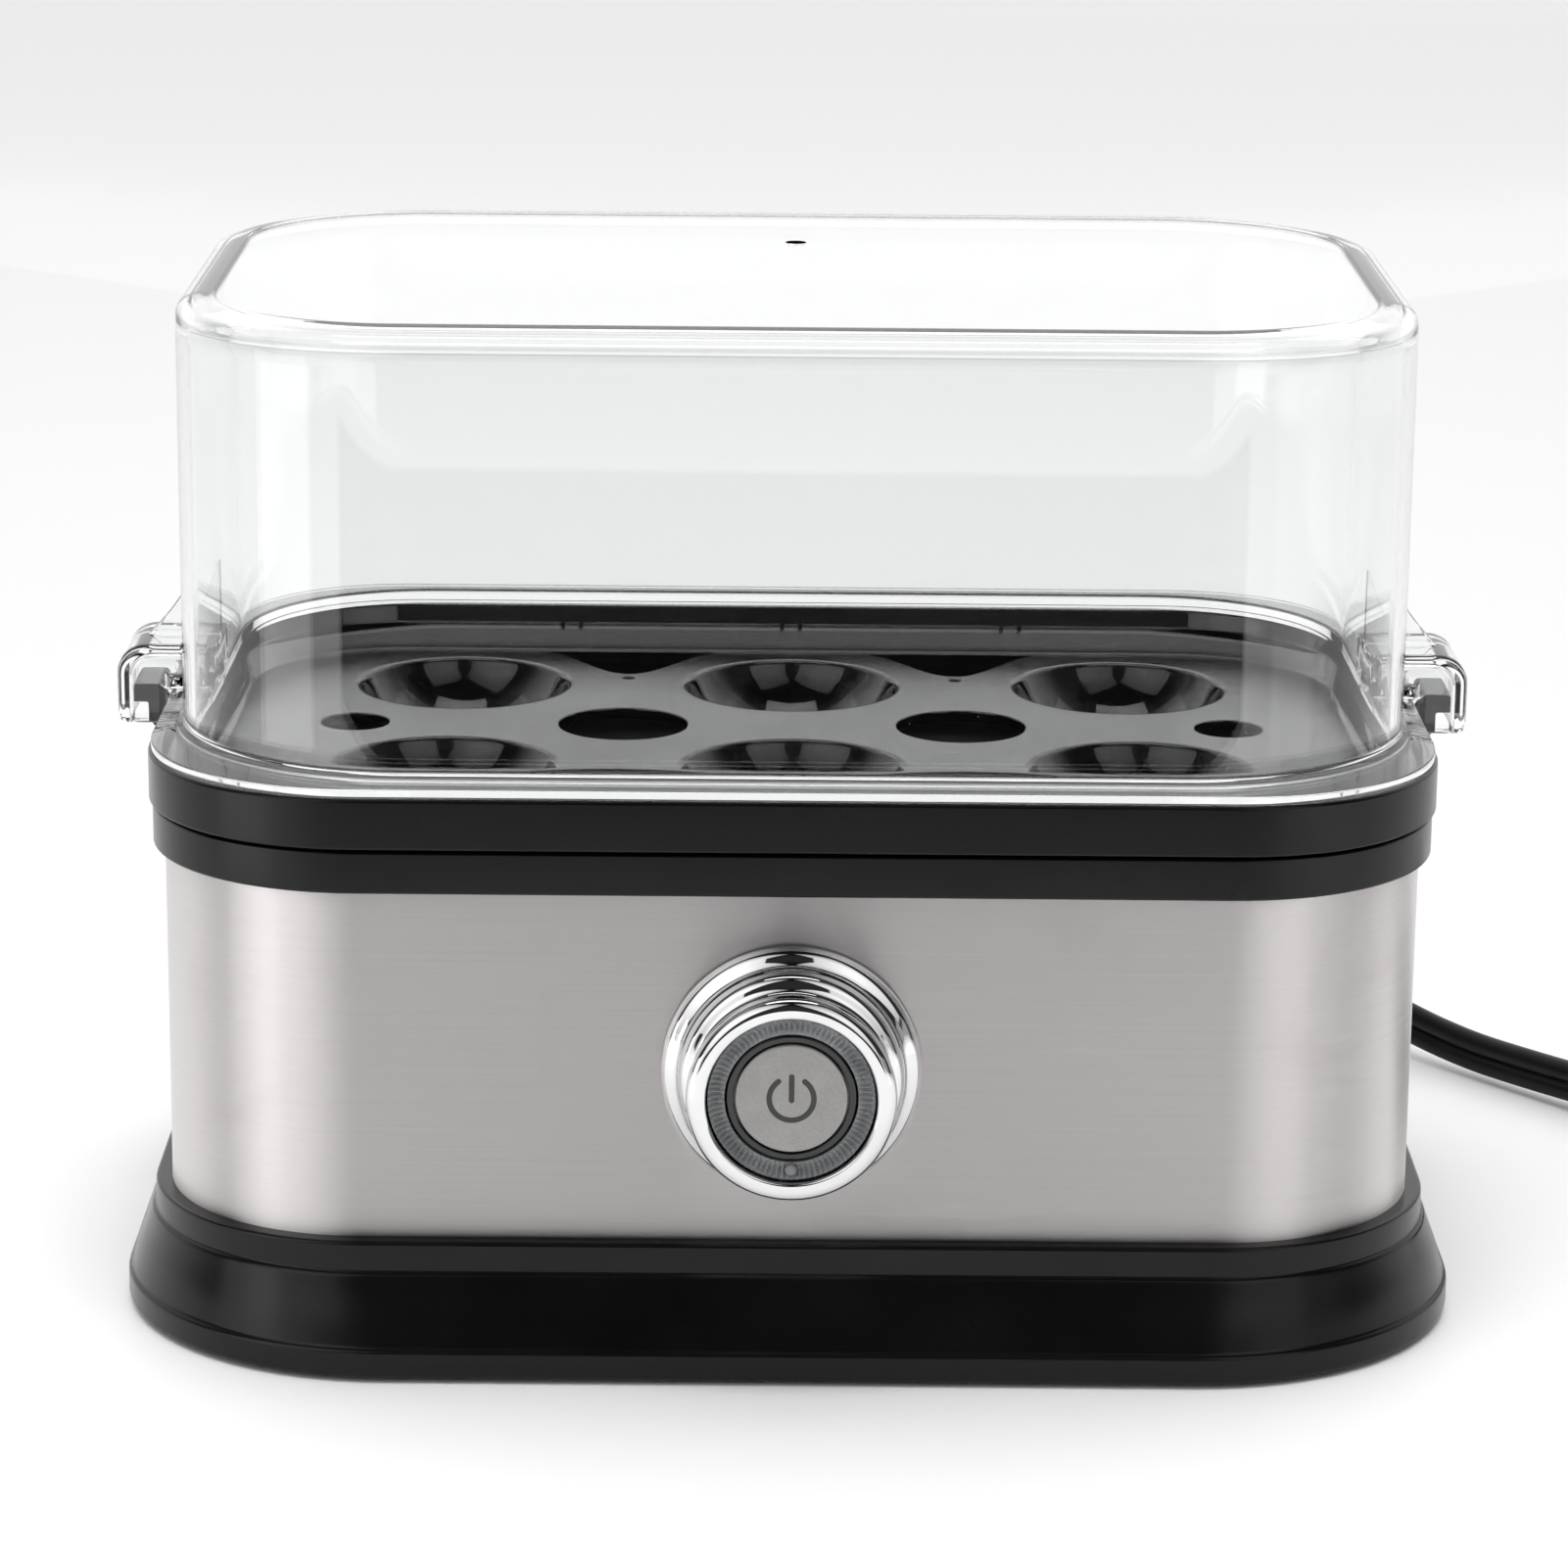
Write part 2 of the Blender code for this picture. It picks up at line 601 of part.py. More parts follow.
def web_outline(side):
    shape = ((LID_WALL[0] - 0.9, WEB_TOP), (LID_WALL[0] - 0.9, EAR_HIGH - 1.0), (EAR_OUT - 4.0, EAR_HIGH - 1.6),
             (EAR_OUT - 2.0, EAR_HIGH - 2.4))
    return [(side * x, z) for x, z in shape]


def lid(finish):
    cover = lid_shell(finish)
    add(cover, make("lid_ears", [prism(ear_outline(side, 0.0), -EAR_HALF, EAR_HALF) for side in (-1, 1)]))
    add(cover, make("lid_webs", [prism(web_outline(side), -1.1, 1.1) for side in (-1, 1)]))
    depth = EAR_HALF - EAR_WALL
    cut(cover, make("ear_hollows", [prism(ear_outline(side, EAR_WALL), -depth, depth) for side in (-1, 1)]))
    vent = [circle(VENT_RADIUS, z, SMALL_STEPS, (0.0, VENT_Y)) for z in (LID_TOP - 6, LID_TOP + 3)]
    cut(cover, make("lid_vent", [vent]))
    return cover


def coil_point(degrees, radius, z):
    angle = math.radians(degrees)
    return (COIL_X + radius * math.cos(angle), COIL_Y + radius * math.sin(angle), z)


def cord_set(finish, tie_finish):
    """The stretch that lies free, the coil's outer shape, the tail on top of it and the tie."""
    tube("cord", smooth_route(CORD_ROUTE, ROUTE_POINTS), CORD / 2, finish)
    centre = (COIL_X, COIL_Y)
    section = ((COIL_IN, COIL_LOW), (COIL_OUT, COIL_LOW), (COIL_OUT, COIL_HIGH), (COIL_IN, COIL_HIGH))
    make("cord_coil", [[circle(r, z, 32, centre) for r, z in section]], finish, closed=True)
    count = 10
    low = COIL_HIGH + GAP + CORD / 2
    tail = []
    for i in range(count):
        share = i / (count - 1)
        rise = (PLUG_HIGH - CORD) / 2 * share ** 2 * (3 - 2 * share)
        tail.append(coil_point(TAIL_START + (TAIL_END - TAIL_START) * share, TAIL_RADIUS, low + rise))
    tube("cord_tail", tail, CORD / 2, finish)
    tie_loop(tie_finish)


def tie_loop(finish):
    """A strap round the turns, on the side behind the plug."""
    inner = (COIL_IN - 3 * GAP, COIL_OUT + GAP, COIL_LOW - GAP, COIL_HIGH + GAP)
    skin = 0.8
    x0, x1, z0, z1 = inner
    across = [((x0, z0), (x0 - skin, z0 - skin)), ((x1, z0), (x1 + skin, z0 - skin)),
              ((x1, z1), (x1 + skin, z1 + skin)), ((x0, z1), (x0 - skin, z1 + skin))]
    rings = []
    for (ix, iz), (ox, oz) in across:
        rings.append([(ix, -4.0, iz), (ox, -4.0, oz), (ox, 4.0, oz), (ix, 4.0, iz)])
    tie = make("cord_tie", [rings], finish, closed=True, at=(COIL_X, COIL_Y, 0.0))
    tie.rotation_euler = (0, 0, math.radians(TIE_ANGLE))
    return tie


def plug(body_finish, blade_finish):
    """A two-blade plug lying on the coil, in line with the cord's end."""
    low = COIL_HIGH + GAP
    turn = math.radians(TAIL_END)
    start = Vector(coil_point(TAIL_END, TAIL_RADIUS, low + PLUG_HIGH / 2))
    along = Vector((-math.sin(turn), math.cos(turn), 0.0))
    heading = math.atan2(along.y, along.x)
    half_h = PLUG_HIGH / 2
    sections = ((0.7, 4.6, 4.6), (9.0, 5.6, 5.6), (14.0, PLUG_WIDE / 2 - 1, half_h),
                (PLUG_LONG - 1, PLUG_WIDE / 2, half_h), (PLUG_LONG, PLUG_WIDE / 2 - 1, half_h - 1))
    rings = []
    for reach, half_w, half_t in sections:
        ring = rounded((half_w, half_t, min(half_w, half_t) * 0.6), 0.0, steps=2)
        rings.append([(reach, x, y) for x, y, _ in ring])
    body = make("plug_body", [rings], body_finish, at=start)
    body.rotation_euler = (0, 0, heading)
    for number, offset in enumerate((-6.35, 6.35), 1):
        shape = block((PLUG_LONG + GAP, offset - 0.75, -3.1), (PLUG_LONG + 17.5, offset + 0.75, 3.1))
        blade = make(f"plug_blade_{number}", [shape], blade_finish, at=start)
        blade.rotation_euler = (0, 0, heading)


def build():
    clear_scene()
    black = material("satin_black", (0.025, 0.025, 0.027), 0.45)
    tray_black = material("gloss_black", (0.012, 0.012, 0.013), 0.12)
    steel = material("brushed_steel", (0.60, 0.58, 0.57), 0.32, 1.0)
    chrome = material("chrome", (0.85, 0.85, 0.86), 0.05, 1.0)
    clear = material("clear_plastic", (0.95, 0.96, 0.97), 0.03, 0.0, 0.25)
    frosted = material("frosted_plastic", (0.55, 0.56, 0.57), 0.25, 0.0, 0.7)
    rubber = material("rubber", (0.03, 0.03, 0.03), 0.8)
    silver = material("silver_face", (0.55, 0.53, 0.52), 0.35, 0.8)
    aluminium = material("aluminium", (0.7, 0.7, 0.72), 0.4, 1.0)
    element = material("element_sheath", (0.28, 0.26, 0.25), 0.5, 1.0)
    ceramic = material("ceramic", (0.8, 0.78, 0.72), 0.6)
    silicone = material("silicone", (0.55, 0.55, 0.55), 0.7)
    brass = material("brass", (0.72, 0.55, 0.28), 0.3, 1.0)
    red = material("red_lead", (0.5, 0.03, 0.02), 0.5)
    white = material("white_lead", (0.75, 0.75, 0.72), 0.5)
    base_skirt(black)
    bottom_cover(black)
    feet(rubber)
    bottom_screws(steel)
    steel_band(steel)
    inner_frame(black)
    top_collar(black)
    water_dish(aluminium)
    dish_gasket(silicone)
    heating_element(element)
    thermostat(ceramic)
    thermal_fuse(aluminium)
    knob_bezel(chrome)
    bezel_nut(black)
    light_ring(frosted)
    power_button(tray_black)
    button_face(silver)
    switch_plunger(white)
    switch_body(black)
    indicator_lamp(frosted)
    terminal_block(white)
    internal_leads(red, white, black)
    strain_relief(black)
    egg_tray(tray_black)
    lid(clear)
    cord_set(black, rubber)
    plug(black, brass)


build()
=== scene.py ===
"""Looks of the six-egg cooker: fine meshes, materials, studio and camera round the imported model.

Sizes are millimetres, as in the part's own source, apart from the camera's and the lights'. Every
mesh is turned into metres when it is made.
"""

import math

import bmesh
import bpy
from mathutils import Euler, Matrix, Vector


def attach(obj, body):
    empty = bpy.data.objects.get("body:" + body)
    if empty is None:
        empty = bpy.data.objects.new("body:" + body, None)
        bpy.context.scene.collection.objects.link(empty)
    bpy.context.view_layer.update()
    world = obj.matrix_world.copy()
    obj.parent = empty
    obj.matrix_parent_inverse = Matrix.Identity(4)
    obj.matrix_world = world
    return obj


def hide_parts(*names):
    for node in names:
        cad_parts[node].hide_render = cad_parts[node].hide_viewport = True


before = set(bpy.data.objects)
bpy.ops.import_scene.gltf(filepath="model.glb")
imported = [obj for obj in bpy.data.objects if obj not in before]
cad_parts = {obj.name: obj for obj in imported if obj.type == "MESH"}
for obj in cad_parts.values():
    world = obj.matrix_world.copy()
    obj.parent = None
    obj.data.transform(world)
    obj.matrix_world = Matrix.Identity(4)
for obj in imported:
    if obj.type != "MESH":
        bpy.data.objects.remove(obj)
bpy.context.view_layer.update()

MM = 0.001
CORNER_STEPS = 20
ROUND = 96
SMALL = 32

# An outline is half width, half depth and corner radius. LOW and HIGH are heights above the table.
# The housing
STEEL = (106.8, 75.0, 34.6)
STEEL_THICK = 0.8
STEEL_LOW = 22.6
STEEL_HIGH = 83.6
COLLAR = (108.8, 77.0, 36.6)
COLLAR_LOW = 83.0
COLLAR_HIGH = 90.2

# The egg tray. TRAY_RIM_CORNER: the middle of a corner and the reach past which the rim is satin.
TRAY_RIM = (109.4, 77.6, 37.2)
TRAY_RIM_CORNER = (72.2, 40.4, 36.2)
SHOULDER = (103.0, 65.4, 33.6)
LEDGE = (102.6, 64.1, 33.3)
LEDGE_HIGH = 96.3
RIB_PAIRS = (-41.5, 0.0, 41.5)
RIB_OFFSET = 1.7
RIM_LOW = 90.6
RIM_HIGH = 99.3
FLOOR = 92.9
FLOOR_THICK = 2.0
CUP_PITCH = 60.0
CUP_ROW = 29.6
CUP_SPHERE = 21.5
CUP_DEPTH = 12.0
CUP_WALL = 2.0
CUP_STEPS = 72
CUP_TOP_ANGLE = 57.0
STEAM_HOLE = 11.4
DRAIN_HOLE = 6.1
DRAIN_X = 77.8
CUTOUT_HALF = 15.0
CUTOUT_DEPTH = 16.3
CUTOUT_BACK = 54.3
DIMPLE = 1.5

# The lid, its ears and the tray's lugs under them
LID_WALL = (104.6, 67.8, 39.0)
LID_FLANGE = (108.9, 77.2, 37.0)
LID_THICK = 2.0
FLANGE_LOW = 99.6
FLANGE_HIGH = 100.9
LID_TOP = 175.0
VENT_Y = 29.6
VENT_RADIUS = 1.9
EAR_OUT = 118.6
EAR_HIGH = 108.6
EAR_LOW = 94.4
EAR_HALF = 10.0
EAR_WALL = 1.9
WEB_TOP = 124.0
WEB_HALF = 1.1
LUG_HALF = 6.5

# The knob. FRONT: distance in front of the steel.
KNOB_Z = 52.8
KNOB_FRONT = 17.3
KNOB_HOLE = 15.3
LIGHT_RING_RIBS = 88
BUTTON_FRONT = 15.0
SIGN_RADIUS = 3.65
SIGN_HALF = 0.46

# The mains lead. COIL_START and COIL_END are degrees along the coil.
EXIT_X = 46.0
EXIT_Z = 38.0
RELIEF_END = STEEL[1] + KNOB_FRONT
CORD_WIDE = 8.0
CORD_THICK = 4.3
COIL_X = 207.0
COIL_Y = 74.5
PLUG_Z = 16.4
TAIL_RADIUS = 41.5
COIL_RADIUS = 46.2
COIL_STEP_IN = 4.6
COIL_HIGH = 5.5
COIL_START = 220
COIL_END = 1080
BLADE_OFFSET = 6.35

# The camera, in metres and degrees
LENS = 118.2
CAMERA_SPOT = (-0.0052, -0.8876, 0.3178)
CAMERA_DOWN = 14.885
CAMERA_YAW = -0.25
CAMERA_ROLL = 0.55

# Lights: name, azimuth, elevation, distance, width, height, radiance, spread, target and
# whether only the floor is lit. Azimuth 0 is the camera's side, 90 the right; lengths in metres.
CENTRE = (0, 0, 0.08)
LIGHTS = (
    ("softbox_left", -43, 30, 1.6, 1.35, 2.3, 1.85, 90, CENTRE, False),
    ("softbox_right", 34, 30, 1.6, 1.0, 2.3, 1.4, 90, CENTRE, False),
    ("strip_left", -60, 0, 0.33, 0.18, 0.12, 1.5, 120, (-0.085, -0.05, 0.062), False),
    ("strip_right", 54, 0, 0.33, 0.14, 0.12, 0.4, 120, (0.085, -0.05, 0.062), False),
    ("overhead", 180, 84, 1.6, 1.1, 0.5, 2.6, 110, CENTRE, False),
    ("floor_front", 0, 90, 1.2, 1.5, 0.4, 11.0, 60, (0, -0.4, 0), True),
    ("floor_all", 0, 90, 2.2, 5.0, 5.5, 0.78, 179, (0, 1.9, 0), True),
    ("backdrop", 180, 90, 2.2, 4.5, 3.2, 0.7, 179, (0, 2.3, 0), False),
)

# The dome's brightness is the product of two ramps, one along each axis of the view direction:
# where the ramp starts and ends, and the levels there
DOME = (("Y", (-0.1, 0.45, 0.03, 1.1)), ("Z", (0.6, 0.85, 1.0, 0.25)))
FLOOR_SIDE = 6000.0
FLAG_Y = -450
FLAG_HIGH = 75

# The route of the mains lead, from the strain relief to where its coil begins
CORD_ROUTE = (
    (46.0, 92.6, 38.0), (46.0, 96.5, 38.0), (48.2, 108.2, 36.6), (54.4, 118.9, 33.6),
    (63.9, 126.9, 29.6), (75.5, 131.2, 25.2), (87.9, 131.2, 20.6), (99.6, 126.9, 16.2),
    (109.0, 118.9, 12.4), (117.4, 109.2, 9.2), (127.0, 97.6, 6.6), (136.0, 86.9, 5.3),
    (144.5, 76.8, 5.2), (155.0, 64.4, 5.5),
)


# -------- camera

def make_camera():
    data = bpy.data.cameras.new("camera")
    data.lens = LENS
    data.sensor_width = 36.0
    camera = bpy.data.objects.new("camera", data)
    bpy.context.scene.collection.objects.link(camera)
    camera.location = CAMERA_SPOT
    turn = Euler((math.radians(90 - CAMERA_DOWN), 0.0, math.radians(CAMERA_YAW))).to_matrix()
    camera.rotation_euler = (turn @ Matrix.Rotation(math.radians(CAMERA_ROLL), 3, "Z")).to_euler()
    bpy.context.scene.camera = camera


# -------- shapes

def rounded(outline, z, steps=CORNER_STEPS):
    """A rounded rectangle at height z, counter-clockwise."""
    half_w, half_d, radius = outline
    points = []
    for quarter, (side_x, side_y) in enumerate(((1, 1), (-1, 1), (-1, -1), (1, -1))):
        for i in range(steps + 1):
            angle = math.radians(90 * (quarter + i / steps))
            points.append((side_x * (half_w - radius) + radius * math.cos(angle),
                           side_y * (half_d - radius) + radius * math.sin(angle), z))
    return points


def grown(outline, offset):
    """The outline moved outwards by an offset, its corners staying concentric."""
    return tuple(value + offset for value in outline)


def circle(radius, z, steps=ROUND, centre=(0.0, 0.0)):
    return [(centre[0] + radius * math.cos(math.tau * i / steps),
             centre[1] + radius * math.sin(math.tau * i / steps), z) for i in range(steps)]


def soften(levels, trims, steps=4, closed=False):
    """Rounds the corners of a profile of tuples whose first and last numbers are across and up.

    A trim is how far from its corner each round-over starts, and 0 keeps the corner sharp.
    """
    count = len(levels)
    result = []
    for i, (level, trim) in enumerate(zip(levels, trims)):
        here = Vector(level)
        open_end = not closed and i in (0, count - 1)
        if not trim or open_end:
            result.append(tuple(here))
            continue
        ends = []
        for other in (levels[i - 1], levels[(i + 1) % count]):
            away = Vector(other) - here
            reach = math.hypot(away[0], away[-1])
            ends.append(here + away * min(trim / reach, 0.5))
        for k in range(steps + 1):
            t = k / steps
            result.append(tuple(ends[0] * (1 - t) ** 2 + here * 2 * t * (1 - t) + ends[1] * t ** 2))
    return result


def flat_levels(levels):
    """(outline, z) pairs as the flat tuples that soften() works on."""
    return [(*outline, z) for outline, z in levels]


def outline_rings(levels, steps=CORNER_STEPS):
    return [rounded(level[:3], level[3], steps) for level in levels]


def prism(profile, low, high):
    """Rings for an XZ profile pulled along Y."""
    return [[(x, y, z) for x, z in profile] for y in (low, high)]


def add_loft(bm, rings, closed=False):
    rows = [[bm.verts.new(Vector(point) * MM) for point in ring] for ring in rings]
    count = len(rows[0])
    pairs = list(zip(rows, rows[1:]))
    if closed:
        pairs.append((rows[-1], rows[0]))
    for lower, upper in pairs:
        for i in range(count):
            j = (i + 1) % count
            bm.faces.new((lower[i], lower[j], upper[j], upper[i]))
    if not closed:
        bm.faces.new(list(reversed(rows[0])))
        bm.faces.new(rows[-1])


def solid(name, lofts, closed=False, at=(0, 0, 0), facing_front=False):
    """A mesh object in the shared frame, from one or more lofts."""
    mesh = bpy.data.meshes.new(name)
    bm = bmesh.new()
    for rings in lofts:
        add_loft(bm, rings, closed)
    bmesh.ops.recalc_face_normals(bm, faces=bm.faces)
    if facing_front:
        for vert in bm.verts:
            x, y, z = vert.co
            vert.co = (x, -z, y)
    bmesh.ops.translate(bm, verts=bm.verts, vec=Vector(at) * MM)
    bm.to_mesh(mesh)
    bm.free()
    obj = bpy.data.objects.new(name, mesh)
    bpy.context.scene.collection.objects.link(obj)
    return obj


def knob_solid(name, profile, steps=ROUND, closed=False, centre=(0.0, 0.0)):
    """A turned piece of the knob: profile is (radius, depth in front of the steel)."""
    rings = [circle(radius, depth, steps, centre) for radius, depth in profile]
    return solid(name, [rings], closed, at=(0, -STEEL[1], KNOB_Z), facing_front=True)


def bake(obj):
    """Replaces the mesh by what its modifiers make of it."""
    bpy.context.view_layer.update()
    evaluated = obj.evaluated_get(bpy.context.evaluated_depsgraph_get())
    obj.data = bpy.data.meshes.new_from_object(evaluated)
    obj.modifiers.clear()
    return obj


def combine(target, operation, *tools):
    """Joins the tools to the target or cuts them from it, and removes them."""
    for tool in tools:
        modifier = target.modifiers.new(tool.name, "BOOLEAN")
        modifier.operation = operation
        modifier.object = tool
    bake(target)
    for tool in tools:
        bpy.data.objects.remove(tool, do_unlink=True)
    return target


def bevelled(obj, width, segments=3, angle=40):
    modifier = obj.modifiers.new("bevel", "BEVEL")
    modifier.width = width * MM
    modifier.segments = segments
    modifier.limit_method = "ANGLE"
    modifier.angle_limit = math.radians(angle)
    return bake(obj)


def shade(obj, angle=32):
    obj.data.shade_smooth()
    obj.data.set_sharp_from_angle(angle=math.radians(angle))
    modifier = obj.modifiers.new("weighted", "WEIGHTED_NORMAL")
    modifier.keep_sharp = True
    modifier.weight = 80
    return bake(obj)


def place(obj, finish, body, slot, *nodes, angle=32):
    """The last step of every piece: shading, material, body and the nodes that it stands for. The slot is
    not used.
    """
    shade(obj, angle)
    obj.data.materials.clear()
    obj.data.materials.append(finish)
    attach(obj, body)
    if nodes:
        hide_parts(*nodes)
    return obj


# -------- materials

class Nodes:
    """A Principled material with short calls for the nodes behind it."""

    def __init__(self, name, colour, roughness, metallic=0.0, **constants):
        self.material = bpy.data.materials.new(name)
        self.material.use_nodes = True
        self.tree = self.material.node_tree
        self.shader = self.tree.nodes["Principled BSDF"]
        self.set("Base Color", (*colour, 1.0))
        self.set("Roughness", roughness)
        self.set("Metallic", metallic)
        for key, value in constants.items():
            self.set(key.replace("_", " "), value)
        self.place = self.tree.nodes.new("ShaderNodeTexCoord").outputs["Object"]
        self.normal = None

    def set(self, socket, value):
        self.shader.inputs[socket].default_value = value

    def node(self, kind, inputs=(), **settings):
        made = self.tree.nodes.new(kind)
        for key, value in settings.items():
            setattr(made, key, value)
        for key, value in dict(inputs).items():
            if isinstance(value, bpy.types.NodeSocket):
                self.tree.links.new(value, made.inputs[key])
            else:
                made.inputs[key].default_value = value
        return made

    def stretched(self, scale):
        return self.node("ShaderNodeMapping", {"Vector": self.place, "Scale": scale}).outputs["Vector"]

    def noise(self, scale, detail=3.0, stretch=None, distortion=0.0):
        vector = self.stretched(stretch) if stretch else self.place
        made = self.node("ShaderNodeTexNoise", {"Vector": vector, "Scale": scale, "Detail": detail,
                                                "Distortion": distortion})
        return made.outputs["Fac"]

    def ranged(self, value, low, high, from_low=0.3, from_high=0.7):
        ends = {"From Min": from_low, "From Max": from_high, "To Min": low, "To Max": high}
        return self.node("ShaderNodeMapRange", {"Value": value, **ends}).outputs["Result"]

    def mix(self, factor, first, second):
        made = self.node("ShaderNodeMix", data_type="RGBA")
        for key, value in ((0, factor), (6, first), (7, second)):
            if isinstance(value, bpy.types.NodeSocket):
                self.tree.links.new(value, made.inputs[key])
            else:
                made.inputs[key].default_value = (*value, 1.0) if key else value
        return made.outputs[2]

    def math(self, operation, first, second):
        return self.node("ShaderNodeMath", {0: first, 1: second}, operation=operation).outputs[0]

    def link(self, socket, value):
        self.tree.links.new(value, self.shader.inputs[socket])

    def bump(self, height, strength, distance):
        """Adds a height in metres to the surface, on top of the bumps before it."""
        inputs = {"Height": height, "Strength": strength, "Distance": distance}
        if self.normal:
            inputs["Normal"] = self.normal
        self.normal = self.node("ShaderNodeBump", inputs).outputs["Normal"]
        self.link("Normal", self.normal)

    def specks(self, scale, radius, share):
        """A mask of small round specks, in a share of the cells of a grid."""
        cells = self.node("ShaderNodeTexVoronoi", {"Vector": self.place, "Scale": scale})
        near = self.math("LESS_THAN", cells.outputs["Distance"], radius * scale)
        parts = self.node("ShaderNodeSeparateColor", {"Color": cells.outputs["Color"]})
        chosen = self.math("LESS_THAN", parts.outputs["Red"], share)
        return self.math("MULTIPLY", near, chosen)

    def scratches(self, stretch, scale, level):
        """A mask of fine hairlines along one direction."""
        return self.math("GREATER_THAN", self.noise(scale, 2.0, stretch), level)


def satin_plastic(name, colour, low=0.2, high=0.28, grain=0.03):
    """Moulded plastic with a fine eroded texture, faint rubbing and a little dust."""
    kit = Nodes(name, colour, 0.35, IOR=1.5, Specular_IOR_Level=0.27)
    tint = kit.ranged(kit.noise(35.0, 4.0), 0.0, 1.0)
    worn = tuple(min(1.0, value * 1.3 + 0.001) for value in colour)
    base = kit.mix(tint, colour, worn)
    dust = kit.specks(140.0, 0.00012, 0.06)
    kit.link("Base Color", kit.mix(dust, base, (0.35, 0.35, 0.34)))
    kit.link("Roughness", kit.ranged(kit.noise(60.0, 5.0), low, high))
    kit.bump(kit.noise(2600.0, 2.0), grain, 0.0001)
    kit.bump(kit.noise(28.0, 2.0), 0.12, 0.00025)
    return kit.material


def gloss_plastic(name, colour, low=0.025, high=0.06, ior=1.6):
    """Polished black plastic with handling haze, hairlines and dust."""
    kit = Nodes(name, colour, 0.08, IOR=ior)
    dust = kit.specks(150.0, 0.0002, 0.22)
    lint = kit.scratches((60.0, 900.0, 200.0), 1.0, 0.79)
    marks = kit.math("MAXIMUM", dust, kit.math("MULTIPLY", lint, 0.25))
    kit.link("Base Color", kit.mix(marks, colour, (0.38, 0.38, 0.37)))
    kit.link("Roughness", kit.ranged(kit.noise(42.0, 6.0, distortion=0.4), low, high))
    kit.bump(kit.noise(24.0, 1.0), 0.04, 0.0003)
    kit.bump(kit.noise(420.0, 2.0), 0.01, 0.00006)
    return kit.material


def brushed_steel():
    """Steel brushed along the band, with slow tone changes and faint finger marks."""
    kit = Nodes("brushed_steel", (0.56, 0.54, 0.535), 0.42, 1.0, Anisotropic=0.92,
                Anisotropic_Rotation=0.25)
    kit.tree.links.new(kit.node("ShaderNodeTangent", direction_type="RADIAL", axis="Z").outputs[0],
                       kit.shader.inputs["Tangent"])
    fine = kit.noise(1.0, 3.0, (26.0, 26.0, 7000.0))
    broad = kit.noise(1.0, 4.0, (7.0, 7.0, 1500.0))
    lines = kit.math("ADD", kit.math("MULTIPLY", fine, 0.65), kit.math("MULTIPLY", broad, 0.35))
    grey = kit.mix(kit.ranged(lines, 0.0, 1.0, 0.36, 0.64), (0.655, 0.63, 0.628), (0.71, 0.685, 0.682))
    smudge = kit.ranged(kit.noise(34.0, 6.0, distortion=0.8), 0.0, 0.16, 0.55, 0.72)
    kit.link("Base Color", kit.mix(smudge, grey, (0.43, 0.40, 0.38)))
    kit.link("Roughness", kit.ranged(lines, 0.38, 0.46, 0.36, 0.64))
    kit.bump(fine, 0.02, 0.00003)
    return kit.material


def chrome():
    """Plated plastic: mirror bright, slightly uneven, with fine wiping marks."""
    kit = Nodes("chrome", (0.72, 0.72, 0.73), 0.04, 1.0)
    tone = kit.ranged(kit.noise(90.0, 3.0), 0.0, 1.0)
    kit.link("Base Color", kit.mix(tone, (0.70, 0.70, 0.71), (0.75, 0.75, 0.75)))
    kit.link("Roughness", kit.ranged(kit.noise(260.0, 4.0), 0.025, 0.06))
    kit.bump(kit.noise(70.0, 2.0), 0.05, 0.0002)
    return kit.material


def clear_plastic():
    """Clear moulded plastic with slight flow waves, dust and a few hairlines."""
    kit = Nodes("clear_plastic", (0.97, 0.975, 0.975), 0.01, IOR=1.49, Transmission_Weight=1.0)
    dust = kit.specks(70.0, 0.00013, 0.16)
    kit.link("Roughness", kit.ranged(dust, 0.008, 0.6, 0.0, 1.0))
    kit.bump(kit.noise(15.0, 1.0), 0.05, 0.0006)
    kit.bump(kit.scratches((150.0, 150.0, 14.0), 3.0, 0.74), 0.04, 0.00005)
    return kit.material


def frosted_plastic():
    """Smoky translucent ring, moulded with ribs."""
    kit = Nodes("frosted_plastic", (0.30, 0.31, 0.32), 0.24, IOR=1.49, Transmission_Weight=0.35)
    tone = kit.ranged(kit.noise(160.0, 3.0), 0.0, 1.0)
    kit.link("Base Color", kit.mix(tone, (0.22, 0.23, 0.24), (0.36, 0.37, 0.38)))
    kit.link("Roughness", kit.ranged(kit.noise(500.0, 3.0), 0.16, 0.32))
    kit.bump(kit.noise(1500.0, 2.0), 0.04, 0.0001)
    return kit.material


def rubber(name, colour, low, high, grain):
    """Rubber or soft vinyl: matt to satin, fine grain and a little dust."""
    kit = Nodes(name, colour, 0.5, IOR=1.5, Specular_IOR_Level=0.16)
    tone = kit.ranged(kit.noise(80.0, 4.0), 0.0, 1.0)
    light = tuple(value * 1.4 + 0.001 for value in colour)
    dust = kit.specks(260.0, 0.0001, 0.2)
    kit.link("Base Color", kit.mix(dust, kit.mix(tone, colour, light), (0.3, 0.3, 0.29)))
    kit.link("Roughness", kit.ranged(kit.noise(120.0, 4.0), low, high))
    kit.bump(kit.noise(1800.0, 3.0), grain, 0.0002)
    return kit.material


def metal(name, colour, low, high, stretch, grain=0.06):
    """Drawn or turned metal with fine lines along one direction and some tarnish."""
    kit = Nodes(name, colour, 0.35, 1.0)
    lines = kit.noise(1.0, 3.0, stretch)
    dull = tuple(value * 0.72 for value in colour)
    kit.link("Base Color", kit.mix(kit.ranged(kit.noise(55.0, 5.0), 0.0, 1.0), colour, dull))
    kit.link("Roughness", kit.ranged(lines, low, high))
    kit.bump(lines, grain, 0.00006)
    return kit.material


